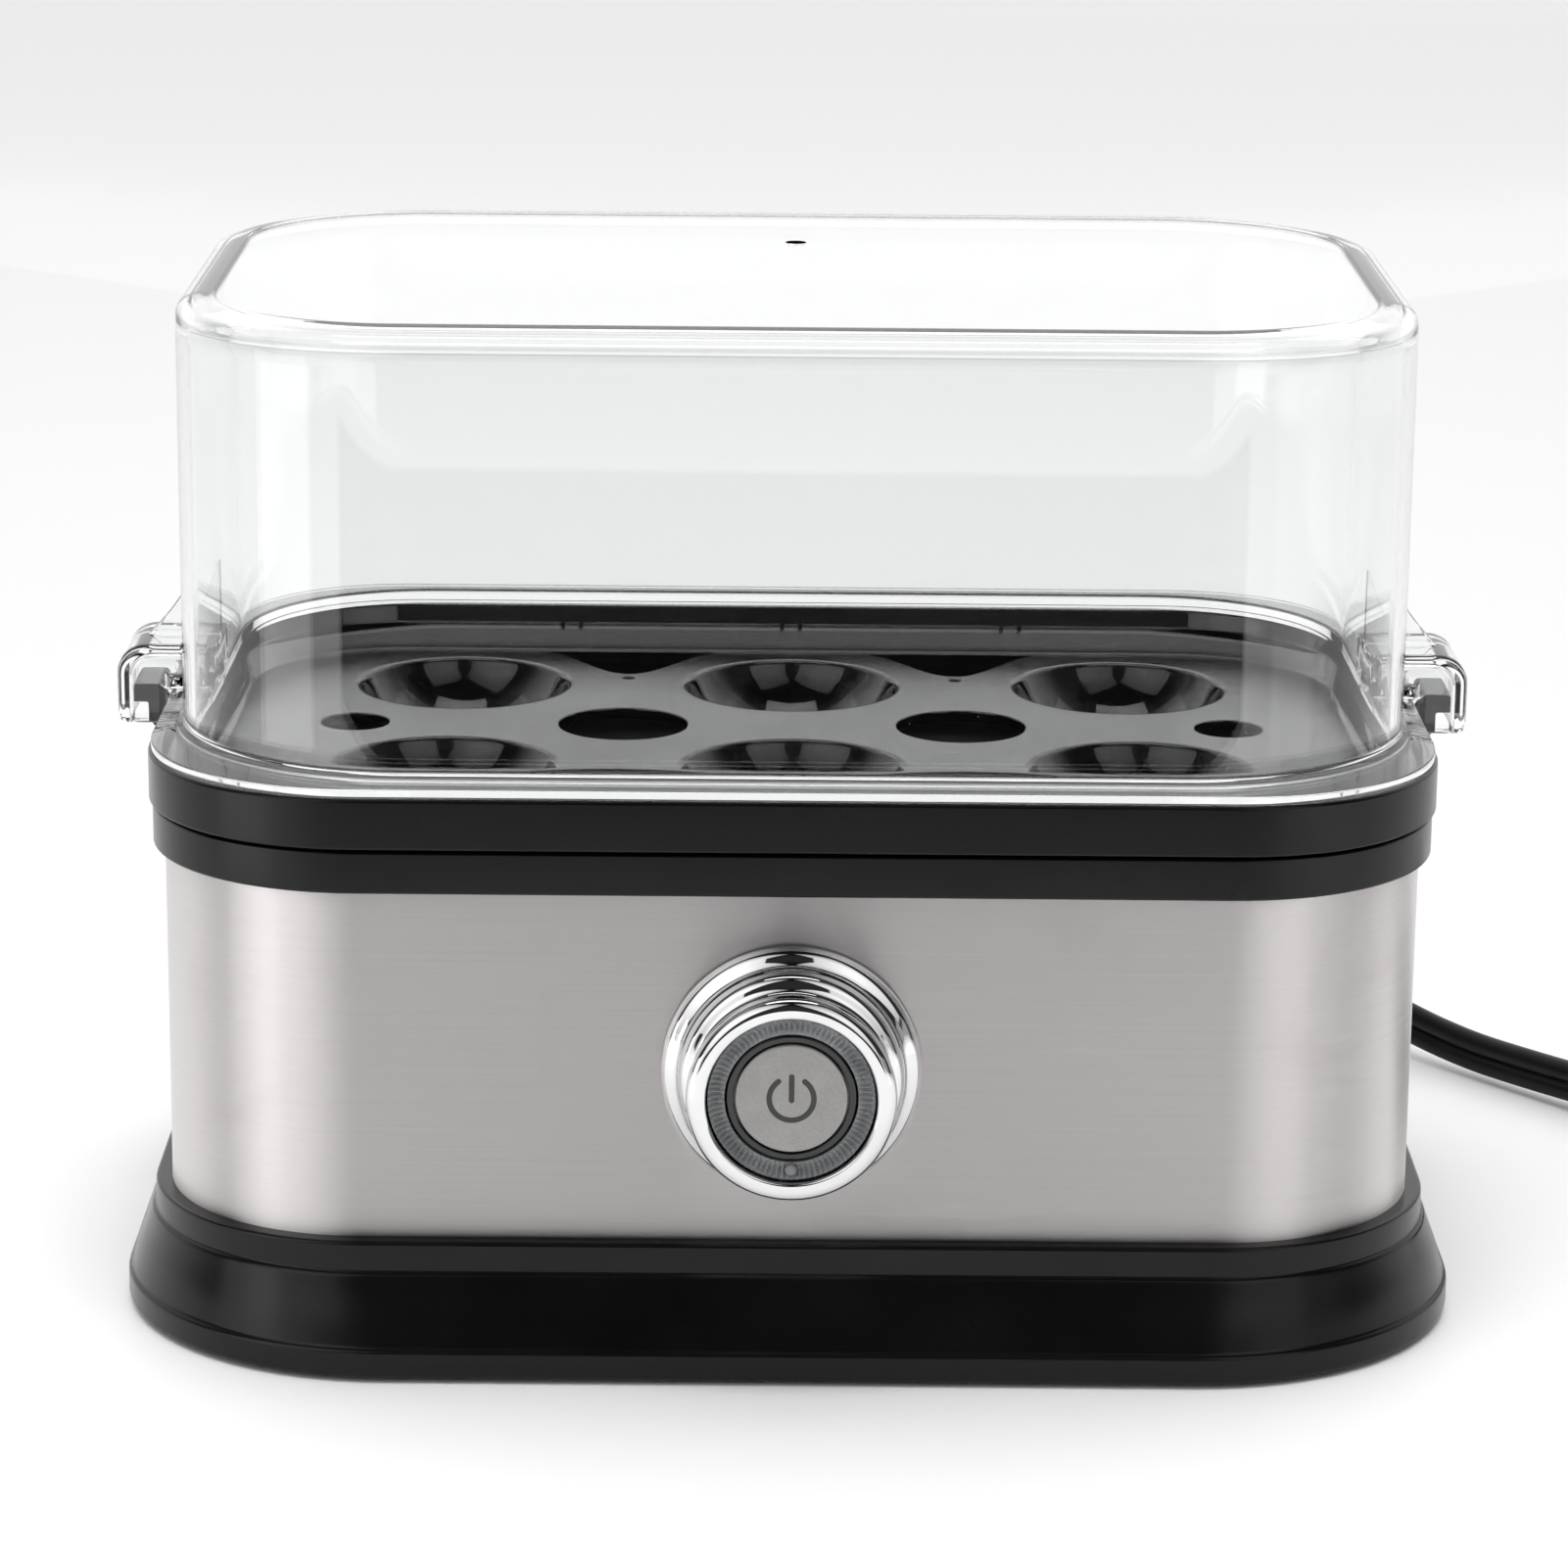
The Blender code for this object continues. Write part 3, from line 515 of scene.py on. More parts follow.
def silver_paint():
    """Fine metallic paint on the button's cap."""
    kit = Nodes("silver_face", (0.50, 0.485, 0.475), 0.36, 0.75, Coat_Weight=0.25, Coat_Roughness=0.12)
    flakes = kit.noise(5200.0, 2.0)
    grey = kit.mix(kit.ranged(flakes, 0.0, 1.0), (0.30, 0.292, 0.285), (0.37, 0.36, 0.35))
    kit.link("Base Color", grey)
    kit.link("Roughness", kit.ranged(kit.noise(300.0, 4.0), 0.3, 0.42))
    kit.bump(flakes, 0.03, 0.00005)
    return kit.material


def moulded(name, colour, roughness, grain):
    """Plain insulating material for the pieces inside."""
    kit = Nodes(name, colour, roughness, IOR=1.5)
    dark = tuple(value * 0.8 for value in colour)
    kit.link("Base Color", kit.mix(kit.ranged(kit.noise(140.0, 5.0), 0.0, 1.0), colour, dark))
    kit.link("Roughness", kit.ranged(kit.noise(300.0, 3.0), roughness * 0.8, min(1.0, roughness * 1.15)))
    kit.bump(kit.noise(1500.0, 3.0), grain, 0.0002)
    return kit.material


def make_materials():
    return {
        "satin_black": satin_plastic("satin_black", (0.002, 0.002, 0.0022)),
        "floor_black": gloss_plastic("floor_black", (0.003, 0.003, 0.003), 0.18, 0.27, 2.0),
        "gloss_black": gloss_plastic("gloss_black", (0.0025, 0.0025, 0.0028)),
        "brushed_steel": brushed_steel(),
        "chrome": chrome(),
        "clear_plastic": clear_plastic(),
        "frosted_plastic": frosted_plastic(),
        "rubber": rubber("rubber", (0.022, 0.022, 0.022), 0.6, 0.85, 0.12),
        "cord_black": rubber("cord_black", (0.004, 0.004, 0.0045), 0.3, 0.45, 0.04),
        "silver_face": silver_paint(),
        "coated": metal("coated", (0.05, 0.05, 0.052), 0.3, 0.46, (300.0, 14.0, 300.0)),
        "aluminium": metal("aluminium", (0.62, 0.62, 0.63), 0.28, 0.46, (900.0, 14.0, 14.0)),
        "element_sheath": metal("element_sheath", (0.24, 0.21, 0.19), 0.42, 0.62,
                                (60.0, 60.0, 60.0), 0.1),
        "ceramic": moulded("ceramic", (0.78, 0.75, 0.69), 0.55, 0.12),
        "silicone": moulded("silicone", (0.50, 0.50, 0.50), 0.6, 0.08),
        "brass": metal("brass", (0.74, 0.58, 0.32), 0.2, 0.34, (14.0, 900.0, 900.0)),
        "red_lead": moulded("red_lead", (0.48, 0.03, 0.02), 0.4, 0.05),
        "white_plastic": moulded("white_plastic", (0.74, 0.74, 0.70), 0.42, 0.06),
    }


# -------- lid

def lid_shell():
    inner = grown(LID_WALL, -LID_THICK)
    outside = flat_levels((
        (grown(LID_WALL, -7.6), LID_TOP - 0.45), (grown(LID_WALL, -6.7), LID_TOP - 0.45),
        (grown(LID_WALL, -6.3), LID_TOP - 0.02), (grown(LID_WALL, -4.4), LID_TOP - 0.1),
        (grown(LID_WALL, -0.1), LID_TOP - 1.7), (LID_WALL, LID_TOP - 5.6),
        (LID_WALL, FLANGE_HIGH + 0.2), (grown(LID_FLANGE, -0.4), FLANGE_HIGH - 0.1),
        (LID_FLANGE, FLANGE_HIGH - 0.1), (LID_FLANGE, FLANGE_LOW),
    ))
    inside = flat_levels((
        (inner, FLANGE_LOW), (inner, LID_TOP - 5.4), (grown(inner, -0.6), LID_TOP - 3.2),
        (grown(inner, -3.6), LID_TOP - 2.1), (grown(inner, -5.2), LID_TOP - 2.0),
    ))
    outside = soften(outside, (0, 0.25, 0.25, 1.2, 2.6, 1.6, 1.2, 0, 0.35, 0.3), 5)
    inside = soften(inside, (0.4, 1.6, 1.4, 1.2, 0), 5)
    return solid("lid_clear", [outline_rings(outside + inside)])


def ear_outline(side, shrink):
    """The arch of an ear in XZ. shrink makes the hollow inside it."""
    out = EAR_OUT - shrink
    top = EAR_HIGH - shrink
    bend = 5.2 - 0.6 * shrink
    foot = EAR_LOW - (2.0 if shrink else 0.0)
    step = FLANGE_HIGH + 1.6 if shrink else FLANGE_HIGH - 0.6
    root = 106.6 if shrink else LID_WALL[0] - 0.9
    clear = 109.3 if shrink else 109.8
    shape = [(clear, foot), (out, foot), (out, top - bend)]
    for i in range(1, 10):
        angle = math.radians(10 * i)
        shape.append((out - bend + bend * math.cos(angle), top - bend + bend * math.sin(angle)))
    shape += [(root, top), (root, step), (clear, step)]
    return [(side * x, z) for x, z in shape]


def web_outline(side):
    """The thin fin that runs from the wall down to the ear, slightly hollow along its slope."""
    top = (LID_WALL[0] - 0.9, WEB_TOP)
    end = (EAR_OUT - 3.2, EAR_HIGH - 1.4)
    shape = [top]
    for i in range(1, 12):
        t = i / 12
        sag = 1.1 * math.sin(math.pi * t)
        shape.append((top[0] + (end[0] - top[0]) * t - sag * 0.6, top[1] + (end[1] - top[1]) * t - sag))
    shape += [end, (LID_WALL[0] - 0.9, EAR_HIGH - 1.4)]
    return [(side * x, z) for x, z in shape]


def make_lid(finish):
    cover = lid_shell()
    for side in (-1, 1):
        ear = solid("ear", [prism(ear_outline(side, 0.0), -EAR_HALF, EAR_HALF)])
        bevelled(ear, 1.6, 5)
        web = solid("web", [prism(web_outline(side), -WEB_HALF, WEB_HALF)])
        bevelled(web, 0.45, 2)
        combine(cover, "UNION", ear, web)
    depth = EAR_HALF - EAR_WALL
    for side in (-1, 1):
        hollow = solid("hollow", [prism(ear_outline(side, EAR_WALL), -depth, depth)])
        combine(cover, "DIFFERENCE", bevelled(hollow, 1.1, 4))
    vent = [circle(VENT_RADIUS, z, SMALL, (0.0, VENT_Y)) for z in (LID_TOP - 6, LID_TOP + 3)]
    combine(cover, "DIFFERENCE", solid("vent", [vent]))
    place(cover, finish, "lid", "clear_plastic", "lid", angle=38)


# -------- tray

def cup_spots():
    return [(column * CUP_PITCH, row * CUP_ROW) for column in (-1, 0, 1) for row in (-1, 1)]


def bowl_profile(sphere, low_angle, steps):
    """(radius, z) up the inside of a cup, ending where its rim turns over on to the floor."""
    middle = FLOOR - CUP_DEPTH + CUP_SPHERE
    profile = []
    for i in range(steps + 1):
        angle = math.radians(low_angle + (CUP_TOP_ANGLE - low_angle) * i / steps)
        profile.append((sphere * math.sin(angle), middle - sphere * math.cos(angle)))
    return profile


def cup_cutter():
    profile = bowl_profile(CUP_SPHERE, 6.0, 14)
    corner = soften((profile[-1], (19.25, FLOOR), (22.4, FLOOR)), (0, 0.9, 0), 8)[1:-1]
    profile += [(r, z - 0.001) for r, z in corner] + [(22.6, FLOOR + 0.5)]
    return [[circle(r, z, CUP_STEPS, spot) for r, z in profile] for spot in cup_spots()]


def cup_body():
    profile = bowl_profile(CUP_SPHERE + CUP_WALL, 7.0, 8) + [(20.6, FLOOR - 0.9)]
    return [[circle(r, z, CUP_STEPS, spot) for r, z in profile] for spot in cup_spots()]


def cutout_rings(centre_x, side):
    """A bell-shaped opening between two cups, straight along the wall."""
    count = 48
    points = []
    for i in range(count + 1):
        across = 2.0 * i / count - 1.0
        bell = (0.5 + 0.5 * math.cos(math.pi * across)) ** 0.8
        points.append((centre_x + CUTOUT_HALF * across,
                       side * (CUTOUT_BACK - 1.0 - CUTOUT_DEPTH * bell)))
    points.append((centre_x + CUTOUT_HALF, side * CUTOUT_BACK))
    points.append((centre_x - CUTOUT_HALF, side * CUTOUT_BACK))
    return [[(x, y, z) for x, y in points] for z in (FLOOR - FLOOR_THICK - 2, FLOOR + 2)]


def tray_shell():
    under = RIM_HIGH - 2.0
    levels = flat_levels((
        ((95.5, 52.2, 25.3), FLOOR), ((100.2, 55.9, 29.9), FLOOR), ((100.9, 57.0, 30.6), FLOOR + 0.7),
        (LEDGE, LEDGE_HIGH), (SHOULDER, RIM_HIGH), (TRAY_RIM, RIM_HIGH), (TRAY_RIM, RIM_LOW),
        (grown(TRAY_RIM, -2.0), RIM_LOW), (grown(TRAY_RIM, -2.0), under), ((105.0, 66.8, 35.6), under),
        ((104.2, 63.6, 34.0), 95.3), ((103.4, 60.6, 33.0), 92.4), ((103.2, 59.9, 32.6), 91.5),
        ((101.4, 58.1, 30.8), FLOOR - FLOOR_THICK),
    ))
    trims = (0, 0.8, 0.5, 0.25, 0.3, 0.7, 0.45, 0.4, 0.5, 0.5, 0.5, 0.5, 0.5, 0.6)
    return solid("tray_black", [outline_rings(soften(levels, trims, 6))])


def lug_profile(side):
    """The inverted-L grip on each end of the tray."""
    shape = ((108.5, 92.8), (112.2, 92.8), (113.5, 94.4), (113.5, 97.7), (116.3, 97.7), (116.3, 100.5),
             (115.8, 101.0), (111.5, 101.0), (110.9, 100.4), (110.9, 98.2), (108.5, 98.2))
    return [(side * x, z) for x, z in shape]


def shoulder_ribs():
    """Pairs of thin ribs that run down the tray's steep shoulder on its long sides."""
    profile = ((62.6, 95.0), (62.6, 95.9), (63.3, 96.9), (64.6, RIM_HIGH + 0.12), (65.3, 97.0))
    ribs = []
    for side in (-1, 1):
        for middle in RIB_PAIRS:
            for offset in (-RIB_OFFSET, RIB_OFFSET):
                x = middle + offset
                ribs.append([[(x + dx, side * y, z) for y, z in profile] for dx in (-0.4, 0.4)])
    return ribs


def make_tray(finish, outside, hazed):
    """The tray: glossy, satin outside its rim, with a floor that reflects softly."""
    tray = tray_shell()
    combine(tray, "UNION", solid("cups", cup_body()))
    lugs = solid("lugs", [prism(lug_profile(side), -LUG_HALF, LUG_HALF) for side in (-1, 1)])
    combine(tray, "UNION", bevelled(lugs, 0.35, 2), solid("ribs", shoulder_ribs()))
    combine(tray, "DIFFERENCE", solid("bowls", cup_cutter()))
    edge = ((0.0, FLOOR - 5), (0.0, FLOOR - 0.45), (0.15, FLOOR - 0.12), (0.5, FLOOR),
            (0.9, FLOOR + 0.1))
    holes = [[circle(radius + flare, z, 64, (side * x, 0.0)) for flare, z in edge]
             for x, radius in ((CUP_PITCH / 2, STEAM_HOLE), (DRAIN_X, DRAIN_HOLE)) for side in (-1, 1)]
    combine(tray, "DIFFERENCE", solid("holes", holes))
    openings = [cutout_rings(x * CUP_PITCH / 2, side) for x in (-1, 1) for side in (-1, 1)]
    combine(tray, "DIFFERENCE", solid("cutouts", openings))
    dimples = [[circle(DIMPLE * math.sin(a), FLOOR + 0.75 - DIMPLE * math.cos(a), 20,
                       (x * 30.0, y * 34.0))
                for a in (0.15, 0.4, 0.65, 0.9, 1.2, 1.5)] for x in (-1, 1) for y in (-1, 1)]
    combine(tray, "DIFFERENCE", solid("dimples", dimples))
    place(tray, finish, "egg_tray", "gloss_black", "egg_tray", angle=38)
    tray.data.materials.append(outside)
    tray.data.materials.append(hazed)
    corner_x, corner_y, corner_radius = TRAY_RIM_CORNER
    for face in tray.data.polygons:
        x, y, z = face.center / MM
        reach = math.hypot(max(abs(x) - corner_x, 0.0), max(abs(y) - corner_y, 0.0))
        if reach > corner_radius and abs(face.normal.z) < 0.98:
            face.material_index = 1
        elif FLOOR - 0.01 < z < FLOOR + 0.3 and face.normal.z > 0.99:
            face.material_index = 2


# -------- housing

def make_collar(finish):
    inside = grown(STEEL, -2.6)
    skirt = grown(STEEL, -STEEL_THICK - 0.3)
    mouth = (103.8, 61.5, 33.0)
    levels = flat_levels((
        (grown(STEEL, 0.5), COLLAR_LOW), (COLLAR, COLLAR_LOW), (COLLAR, COLLAR_HIGH),
        (mouth, COLLAR_HIGH), (mouth, 86.2), (inside, 86.2), (inside, 79.0), (skirt, 79.0),
        (skirt, STEEL_HIGH + 0.4), (grown(STEEL, 0.5), STEEL_HIGH + 0.4),
    ))
    trims = (0.2, 0.55, 0.5, 0.5, 0.3, 0.4, 0.3, 0.3, 0, 0)
    rings = outline_rings(soften(levels, trims, 5, closed=True))
    place(solid("collar_black", [rings], closed=True), finish, "housing", "satin_black", "top_collar")


def oval_tool(name, half_x, half_z, at, reach):
    rings = [[(x * half_x, z * half_z, d) for x, z, _ in circle(1.0, 0.0, 48)] for d in (-reach, reach)]
    return solid(name, [rings], at=at, facing_front=True)


def make_band(finish):
    inner = grown(STEEL, -STEEL_THICK)
    levels = flat_levels(((inner, STEEL_LOW), (STEEL, STEEL_LOW),
                          (STEEL, STEEL_HIGH), (inner, STEEL_HIGH)))
    rings = outline_rings(soften(levels, (0.15, 0.25, 0.25, 0.15), 3, closed=True), 32)
    band = solid("steel_wrap", [rings], closed=True)
    knob = oval_tool("knob_hole", KNOB_HOLE, KNOB_HOLE, (0, -STEEL[1] + 1, KNOB_Z), 6)
    relief = oval_tool("relief_hole", 5.9, 7.9, (EXIT_X, STEEL[1] - 2, EXIT_Z), 8)
    combine(band, "DIFFERENCE", knob, relief)
    place(band, finish, "housing", "brushed_steel", "steel_band")


def make_base(finish):
    foot = (115.2, 83.6, 47.5)
    levels = flat_levels((
        (foot, 0.8), (foot, 5.5), ((114.5, 82.9, 46.6), 6.0), ((113.3, 81.6, 44.6), 10.3),
        ((111.6, 79.9, 41.9), 14.6), ((110.6, 78.9, 40.3), 17.5), ((110.0, 78.3, 39.6), 17.9),
        ((109.6, 77.9, 37.6), 23.0), ((103.0, 71.2, 30.8), 23.0), ((103.0, 71.2, 30.8), 20.0),
        ((107.0, 75.3, 36.0), 20.0), ((108.4, 76.7, 38.2), 17.0), ((111.2, 79.5, 43.0), 9.5),
        ((112.6, 81.0, 44.9), 5.0), ((112.6, 81.0, 44.9), 0.8),
    ))
    trims = (0.9, 0.5, 0.35, 2.1, 2.1, 0.5, 0.25, 0.7, 0.4, 0.4, 0.5, 1.0, 1.5, 1.0, 0.4)
    rings = outline_rings(soften(levels, trims, 5, closed=True))
    place(solid("base_flared", [rings], closed=True), finish, "housing", "satin_black", "base_skirt")


def spots(x, y):
    return [(side_x * x, side_y * y) for side_x in (-1, 1) for side_y in (-1, 1)]


FOOT_SPOTS = spots(70.0, 64.0)
POST_SPOTS = spots(88.0, 56.0)


def slot_tool(x, half_long, half_wide, low, high):
    """A slot with round ends along Y."""
    points = []
    for i in range(24):
        angle = math.tau * (i + 0.5) / 24
        shift = math.copysign(half_long - half_wide, math.sin(angle))
        points.append((x + half_wide * math.cos(angle), shift + half_wide * math.sin(angle)))
    return [[(px, py, z) for px, py in points] for z in (low, high)]


def make_cover(finish):
    outline = (112.2, 80.6, 44.5)
    levels = flat_levels(((outline, 2.0), (outline, 4.0)))
    cover = solid("bottom_plate", [outline_rings(soften(levels, (0, 0)))])
    tools = [[circle(r, z, SMALL, spot) for z in (1.0, 5.0)] for group, r in
             ((FOOT_SPOTS, 2.9), (POST_SPOTS, 2.1)) for spot in group]
    tools += [slot_tool(-30.0 + 12.0 * i, 18.0, 1.5, 1.0, 5.0) for i in range(6)]
    combine(cover, "DIFFERENCE", solid("cover_holes", tools))
    groove = [rounded((70.0 - d, 46.0 - d, 20.0 - d), z)
              for d, z in ((0, 1.5), (0, 2.3), (1.2, 2.3), (1.2, 1.5))]
    combine(cover, "DIFFERENCE", solid("cover_groove", [groove], closed=True))
    place(bevelled(cover, 0.3, 2), finish, "housing", "satin_black", "bottom_cover")


def make_feet(finish):
    levels = ((5.6, 0.0), (7.0, 0.0), (7.0, 1.7), (2.6, 1.7), (2.6, 4.3), (3.6, 4.3), (2.2, 6.2))
    for number, spot in enumerate(FOOT_SPOTS, 1):
        rings = [circle(r, z, SMALL, spot) for r, z in soften(levels, (0, 0.6, 0.3, 0.2, 0.2, 0.3, 0), 4)]
        place(solid(f"foot_pad_{number}", [rings]), finish, "housing", "rubber", f"foot_{number}")


def make_screws(finish):
    levels = ((1.4, 0.6), (3.3, 1.0), (3.3, 1.7), (1.6, 1.7), (1.6, 15.0), (0.7, 17.0))
    for number, spot in enumerate(POST_SPOTS, 1):
        profile = soften(levels, (0, 0.5, 0.15, 0.1, 0.3, 0), 4)
        screw = solid(f"screw_{number}", [[circle(r, z, SMALL, spot) for r, z in profile]])
        arms = []
        for half_x, half_y in ((1.7, 0.3), (0.3, 1.7)):
            arms.append([[(spot[0] + x * half_x * s, spot[1] + y * half_y * s, z) for x, y in
                          ((-1, -1), (1, -1), (1, 1), (-1, 1))] for s, z in ((1.0, 0.0), (0.6, 1.35))])
        cross = solid("cross_a", arms[:1])
        combine(screw, "DIFFERENCE", cross, solid("cross_b", arms[1:]))
        place(screw, finish, "housing", "brushed_steel", f"bottom_screw_{number}")


def make_dish(finish):
    levels = flat_levels((
        ((60.0, 22.0, 14.0), 75.4), ((95.0, 54.5, 27.0), 75.4), ((96.6, 56.1, 28.0), 84.7),
        ((101.6, 69.8, 31.0), 84.7), ((101.6, 69.8, 31.0), 83.8), ((97.8, 57.5, 29.2), 83.8),
        ((96.0, 55.5, 27.4), 74.4), ((60.0, 22.0, 14.0), 74.4),
    ))
    rings = outline_rings(soften(levels, (0, 3.4, 1.4, 0.35, 0.35, 1.0, 3.4, 0), 7))
    place(solid("dish_drawn", [rings]), finish, "housing", "aluminium", "water_dish")


def make_relief(finish):
    """A tapered bush with ring grooves where it bends."""
    levels = [(6.8, 8.8, 69.4), (7.2, 9.2, 71.5), (5.5, 7.5, 71.5), (5.5, 7.5, 75.4), (7.4, 9.4, 75.4),
              (7.4, 9.4, 76.6), (6.0, 8.1, 77.8)]
    start, end = 78.6, RELIEF_END - 1.4
    count = 4
    for i in range(count):
        share = i / (count - 1)
        y = start + (end - start) * share * 0.86
        half_x = 5.7 - 1.2 * share
        half_z = 7.8 - 1.5 * share
        levels += [(half_x, half_z, y), (half_x - 0.1, half_z - 0.1, y + 1.5),
                   (half_x - 0.9, half_z - 0.9, y + 1.8), (half_x - 0.9, half_z - 0.9, y + 2.7)]
    levels += [(4.5, 6.3, RELIEF_END - 1.6), (4.4, 6.2, RELIEF_END)]
    levels = soften(levels, [0] + [0.25] * (len(levels) - 2) + [0], 2)
    rings = [[(EXIT_X + x * half_x, y, EXIT_Z + z * half_z) for x, z, _ in circle(1.0, 0.0, 40)]
             for half_x, half_z, y in levels]
    place(solid("relief_bush", [rings]), finish, "housing", "satin_black", "strain_relief", angle=50)


# -------- knob

def make_bezel(finish):
    profile = (
        (21.6, 0.3), (21.6, 1.2), (21.0, 2.5), (19.5, 3.3), (18.9, 3.8), (18.7, 6.0), (18.0, 7.4),
        (16.3, 8.0), (15.7, 8.9), (15.7, 11.4), (16.6, 12.4), (17.2, 13.6), (17.3, 16.3), (16.1, 17.3),
        (14.3, 17.3), (14.0, 16.9), (14.0, -9.0), (15.0, -9.0), (15.0, 0.3),
    )
    trims = (0.15, 0.4, 0.6, 0.4, 0.4, 0.9, 0.7, 0.6, 0.5, 0.8, 0.5, 0.6, 0.8, 0.6, 0.25, 0.15,
             0.2, 0.2, 0.2)
    bezel = knob_solid("bezel_chrome", soften(profile, trims, 5, closed=True), 128, closed=True)
    place(bezel, finish, "housing", "chrome", "knob_bezel")


def make_light_ring(finish):
    """A ring whose sloping face carries fine radial ribs, with a small window at the bottom."""
    ribs, per_rib = LIGHT_RING_RIBS, 8
    inner, outer, back = 10.95, 13.7, 6.0
    face = ((inner, 15.15, 0.0), (inner + 0.25, 15.35, 0.3), (12.0, 15.6, 1.0), (13.0, 15.85, 1.0),
            (outer - 0.3, 16.05, 0.4), (outer, 15.9, 0.0), (outer, back, 0.0), (inner, back, 0.0))
    rings = []
    for radius, depth, share in face:
        ring = []
        for i in range(ribs * per_rib):
            wave = 0.5 + 0.5 * math.cos(math.tau * i / per_rib)
            angle = math.tau * i / (ribs * per_rib)
            ring.append((radius * math.cos(angle), radius * math.sin(angle), depth - 0.55 * share * wave))
        rings.append(ring)
    ring = solid("ribbed_ring", [rings], closed=True, at=(0, -STEEL[1], KNOB_Z), facing_front=True)
    window = soften(((0.2, 16.25), (0.75, 16.25), (1.05, 15.9), (1.05, 9.0)), (0, 0.3, 0.2, 0), 3)
    tool = knob_solid("window", window, 28, centre=(0.0, -12.1))
    combine(ring, "UNION", tool)
    place(ring, finish, "housing", "frosted_plastic", "light_ring", angle=50)


def make_button(black, silver):
    front = BUTTON_FRONT
    body = ((9.5, front - 1.1), (9.5, front), (10.65, front), (10.65, 7.0), (3.0, 7.0), (3.0, 1.0))
    button = knob_solid("button_body", soften(body, (0, 0.2, 0.3, 0.3, 0.3, 0), 4))
    place(button, black, "power_button", "gloss_black", "power_button")
    cap = ((9.2, front - 0.8), (9.2, front + 0.28), (6.0, front + 0.3))
    face = knob_solid("button_cap", soften(cap, (0, 0.3, 0), 4))
    place(face, silver, "power_button", "silver_face", "button_face")


def stroke(points, half_wide, low, high):
    """A band of even width along points in a plane, with round ends, as a loft of two outlines."""
    left, right = [], []
    for i, point in enumerate(points):
        before = Vector(points[max(i - 1, 0)])
        after = Vector(points[min(i + 1, len(points) - 1)])
        along = (after - before).normalized()
        side = Vector((-along.y, along.x)) * half_wide
        left.append(Vector(point) + side)
        right.append(Vector(point) - side)
    outline = list(right)
    for end, start in ((points[-1], right[-1]), (points[0], left[0])):
        if end == points[0]:
            outline += list(reversed(left))
        centre = Vector(end)
        arm = start - centre
        for k in range(1, 8):
            angle = math.pi * k / 8
            outline.append(centre + Vector((arm.x * math.cos(angle) - arm.y * math.sin(angle),
                                            arm.x * math.sin(angle) + arm.y * math.cos(angle))))
    return [[(p.x, p.y, d) for p in outline] for d in (low, high)]


def make_symbol(finish):
    """The usual power sign, printed on the cap: an open ring and a bar."""
    arc = []
    for i in range(41):
        angle = math.radians(126.0 + 288.0 * i / 40)
        arc.append((SIGN_RADIUS * math.cos(angle), SIGN_RADIUS * math.sin(angle)))
    bar = [(0.0, 3.75 - 0.4 * i) for i in range(11)]
    low, high = 15.2, 15.33
    sign = solid("power_sign", [stroke(arc, SIGN_HALF, low, high), stroke(bar, SIGN_HALF, low, high)],
                 at=(0, -STEEL[1], KNOB_Z), facing_front=True)
    place(sign, finish, "power_button", "gloss_black")


# -------- mains lead

def catmull(points, per_span):
    """A smooth line through points."""
    knots = [Vector(p) for p in points]
    knots = [2 * knots[0] - knots[1]] + knots + [2 * knots[-1] - knots[-2]]
    line = []
    for a, b, c, d in zip(knots, knots[1:], knots[2:], knots[3:]):
        for i in range(per_span):
            t = i / per_span
            line.append(0.5 * (2 * b + (c - a) * t + (2 * a - 5 * b + 4 * c - d) * t ** 2
                               + (3 * b - a - 3 * c + d) * t ** 3))
    line.append(knots[-2])
    return line


def ease(value, low, high):
    t = min(max((value - low) / (high - low), 0.0), 1.0)
    return t * t * (3 - 2 * t)


def coil_route():
    """Turns lying beside each other inwards, then up over them to the plug."""
    points = []
    for degrees in range(COIL_START, COIL_END + 1, 10):
        spiral = COIL_RADIUS - COIL_STEP_IN * (degrees - COIL_START) / 360
        radius = spiral + (TAIL_RADIUS - spiral) * ease(degrees, 935, 1000)
        height = COIL_HIGH + 8.4 * ease(degrees, 845, 930) + 2.5 * ease(degrees, 990, 1078)
        angle = math.radians(degrees)
        points.append((COIL_X + radius * math.cos(angle), COIL_Y + radius * math.sin(angle), height))
    return points


def flat_section():
    """Two round cores side by side with a web between them: (across the flat, along its width)."""
    lobe = CORD_THICK / 2
    offset = CORD_WIDE / 2 - lobe
    section = []
    for side in (1, -1):
        for i in range(-9, 10):
            angle = math.radians(90 * side + i * 16.5)
            section.append((lobe * math.cos(angle), side * offset + lobe * math.sin(angle)))
    return section


def make_lead(finish):
    line = catmull(CORD_ROUTE, 4) + [Vector((163.4, 54.4, COIL_HIGH))]
    line = catmull(line + [Vector(p) for p in coil_route()], 2)
    section = flat_section()
    rings = []
    for i, point in enumerate(line):
        along = (line[min(i + 1, len(line) - 1)] - line[max(i - 1, 0)]).normalized()
        side = along.cross(Vector((0, 0, 1))).normalized()
        up = side.cross(along).normalized()
        rings.append([point + side * across + up * tall for across, tall in section])
    lead = solid("mains_lead", [rings])
    place(lead, finish, "housing", "cord_black", "cord", "cord_coil", "cord_tail", angle=60)
    return lead, [point * MM for point in line]


def superellipse(half_w, half_t, power, steps=40):
    points = []
    for i in range(steps):
        angle = math.tau * i / steps
        c, s = math.cos(angle), math.sin(angle)
        points.append((half_w * math.copysign(abs(c) ** (2 / power), c),
                       half_t * math.copysign(abs(s) ** (2 / power), s)))
    return points


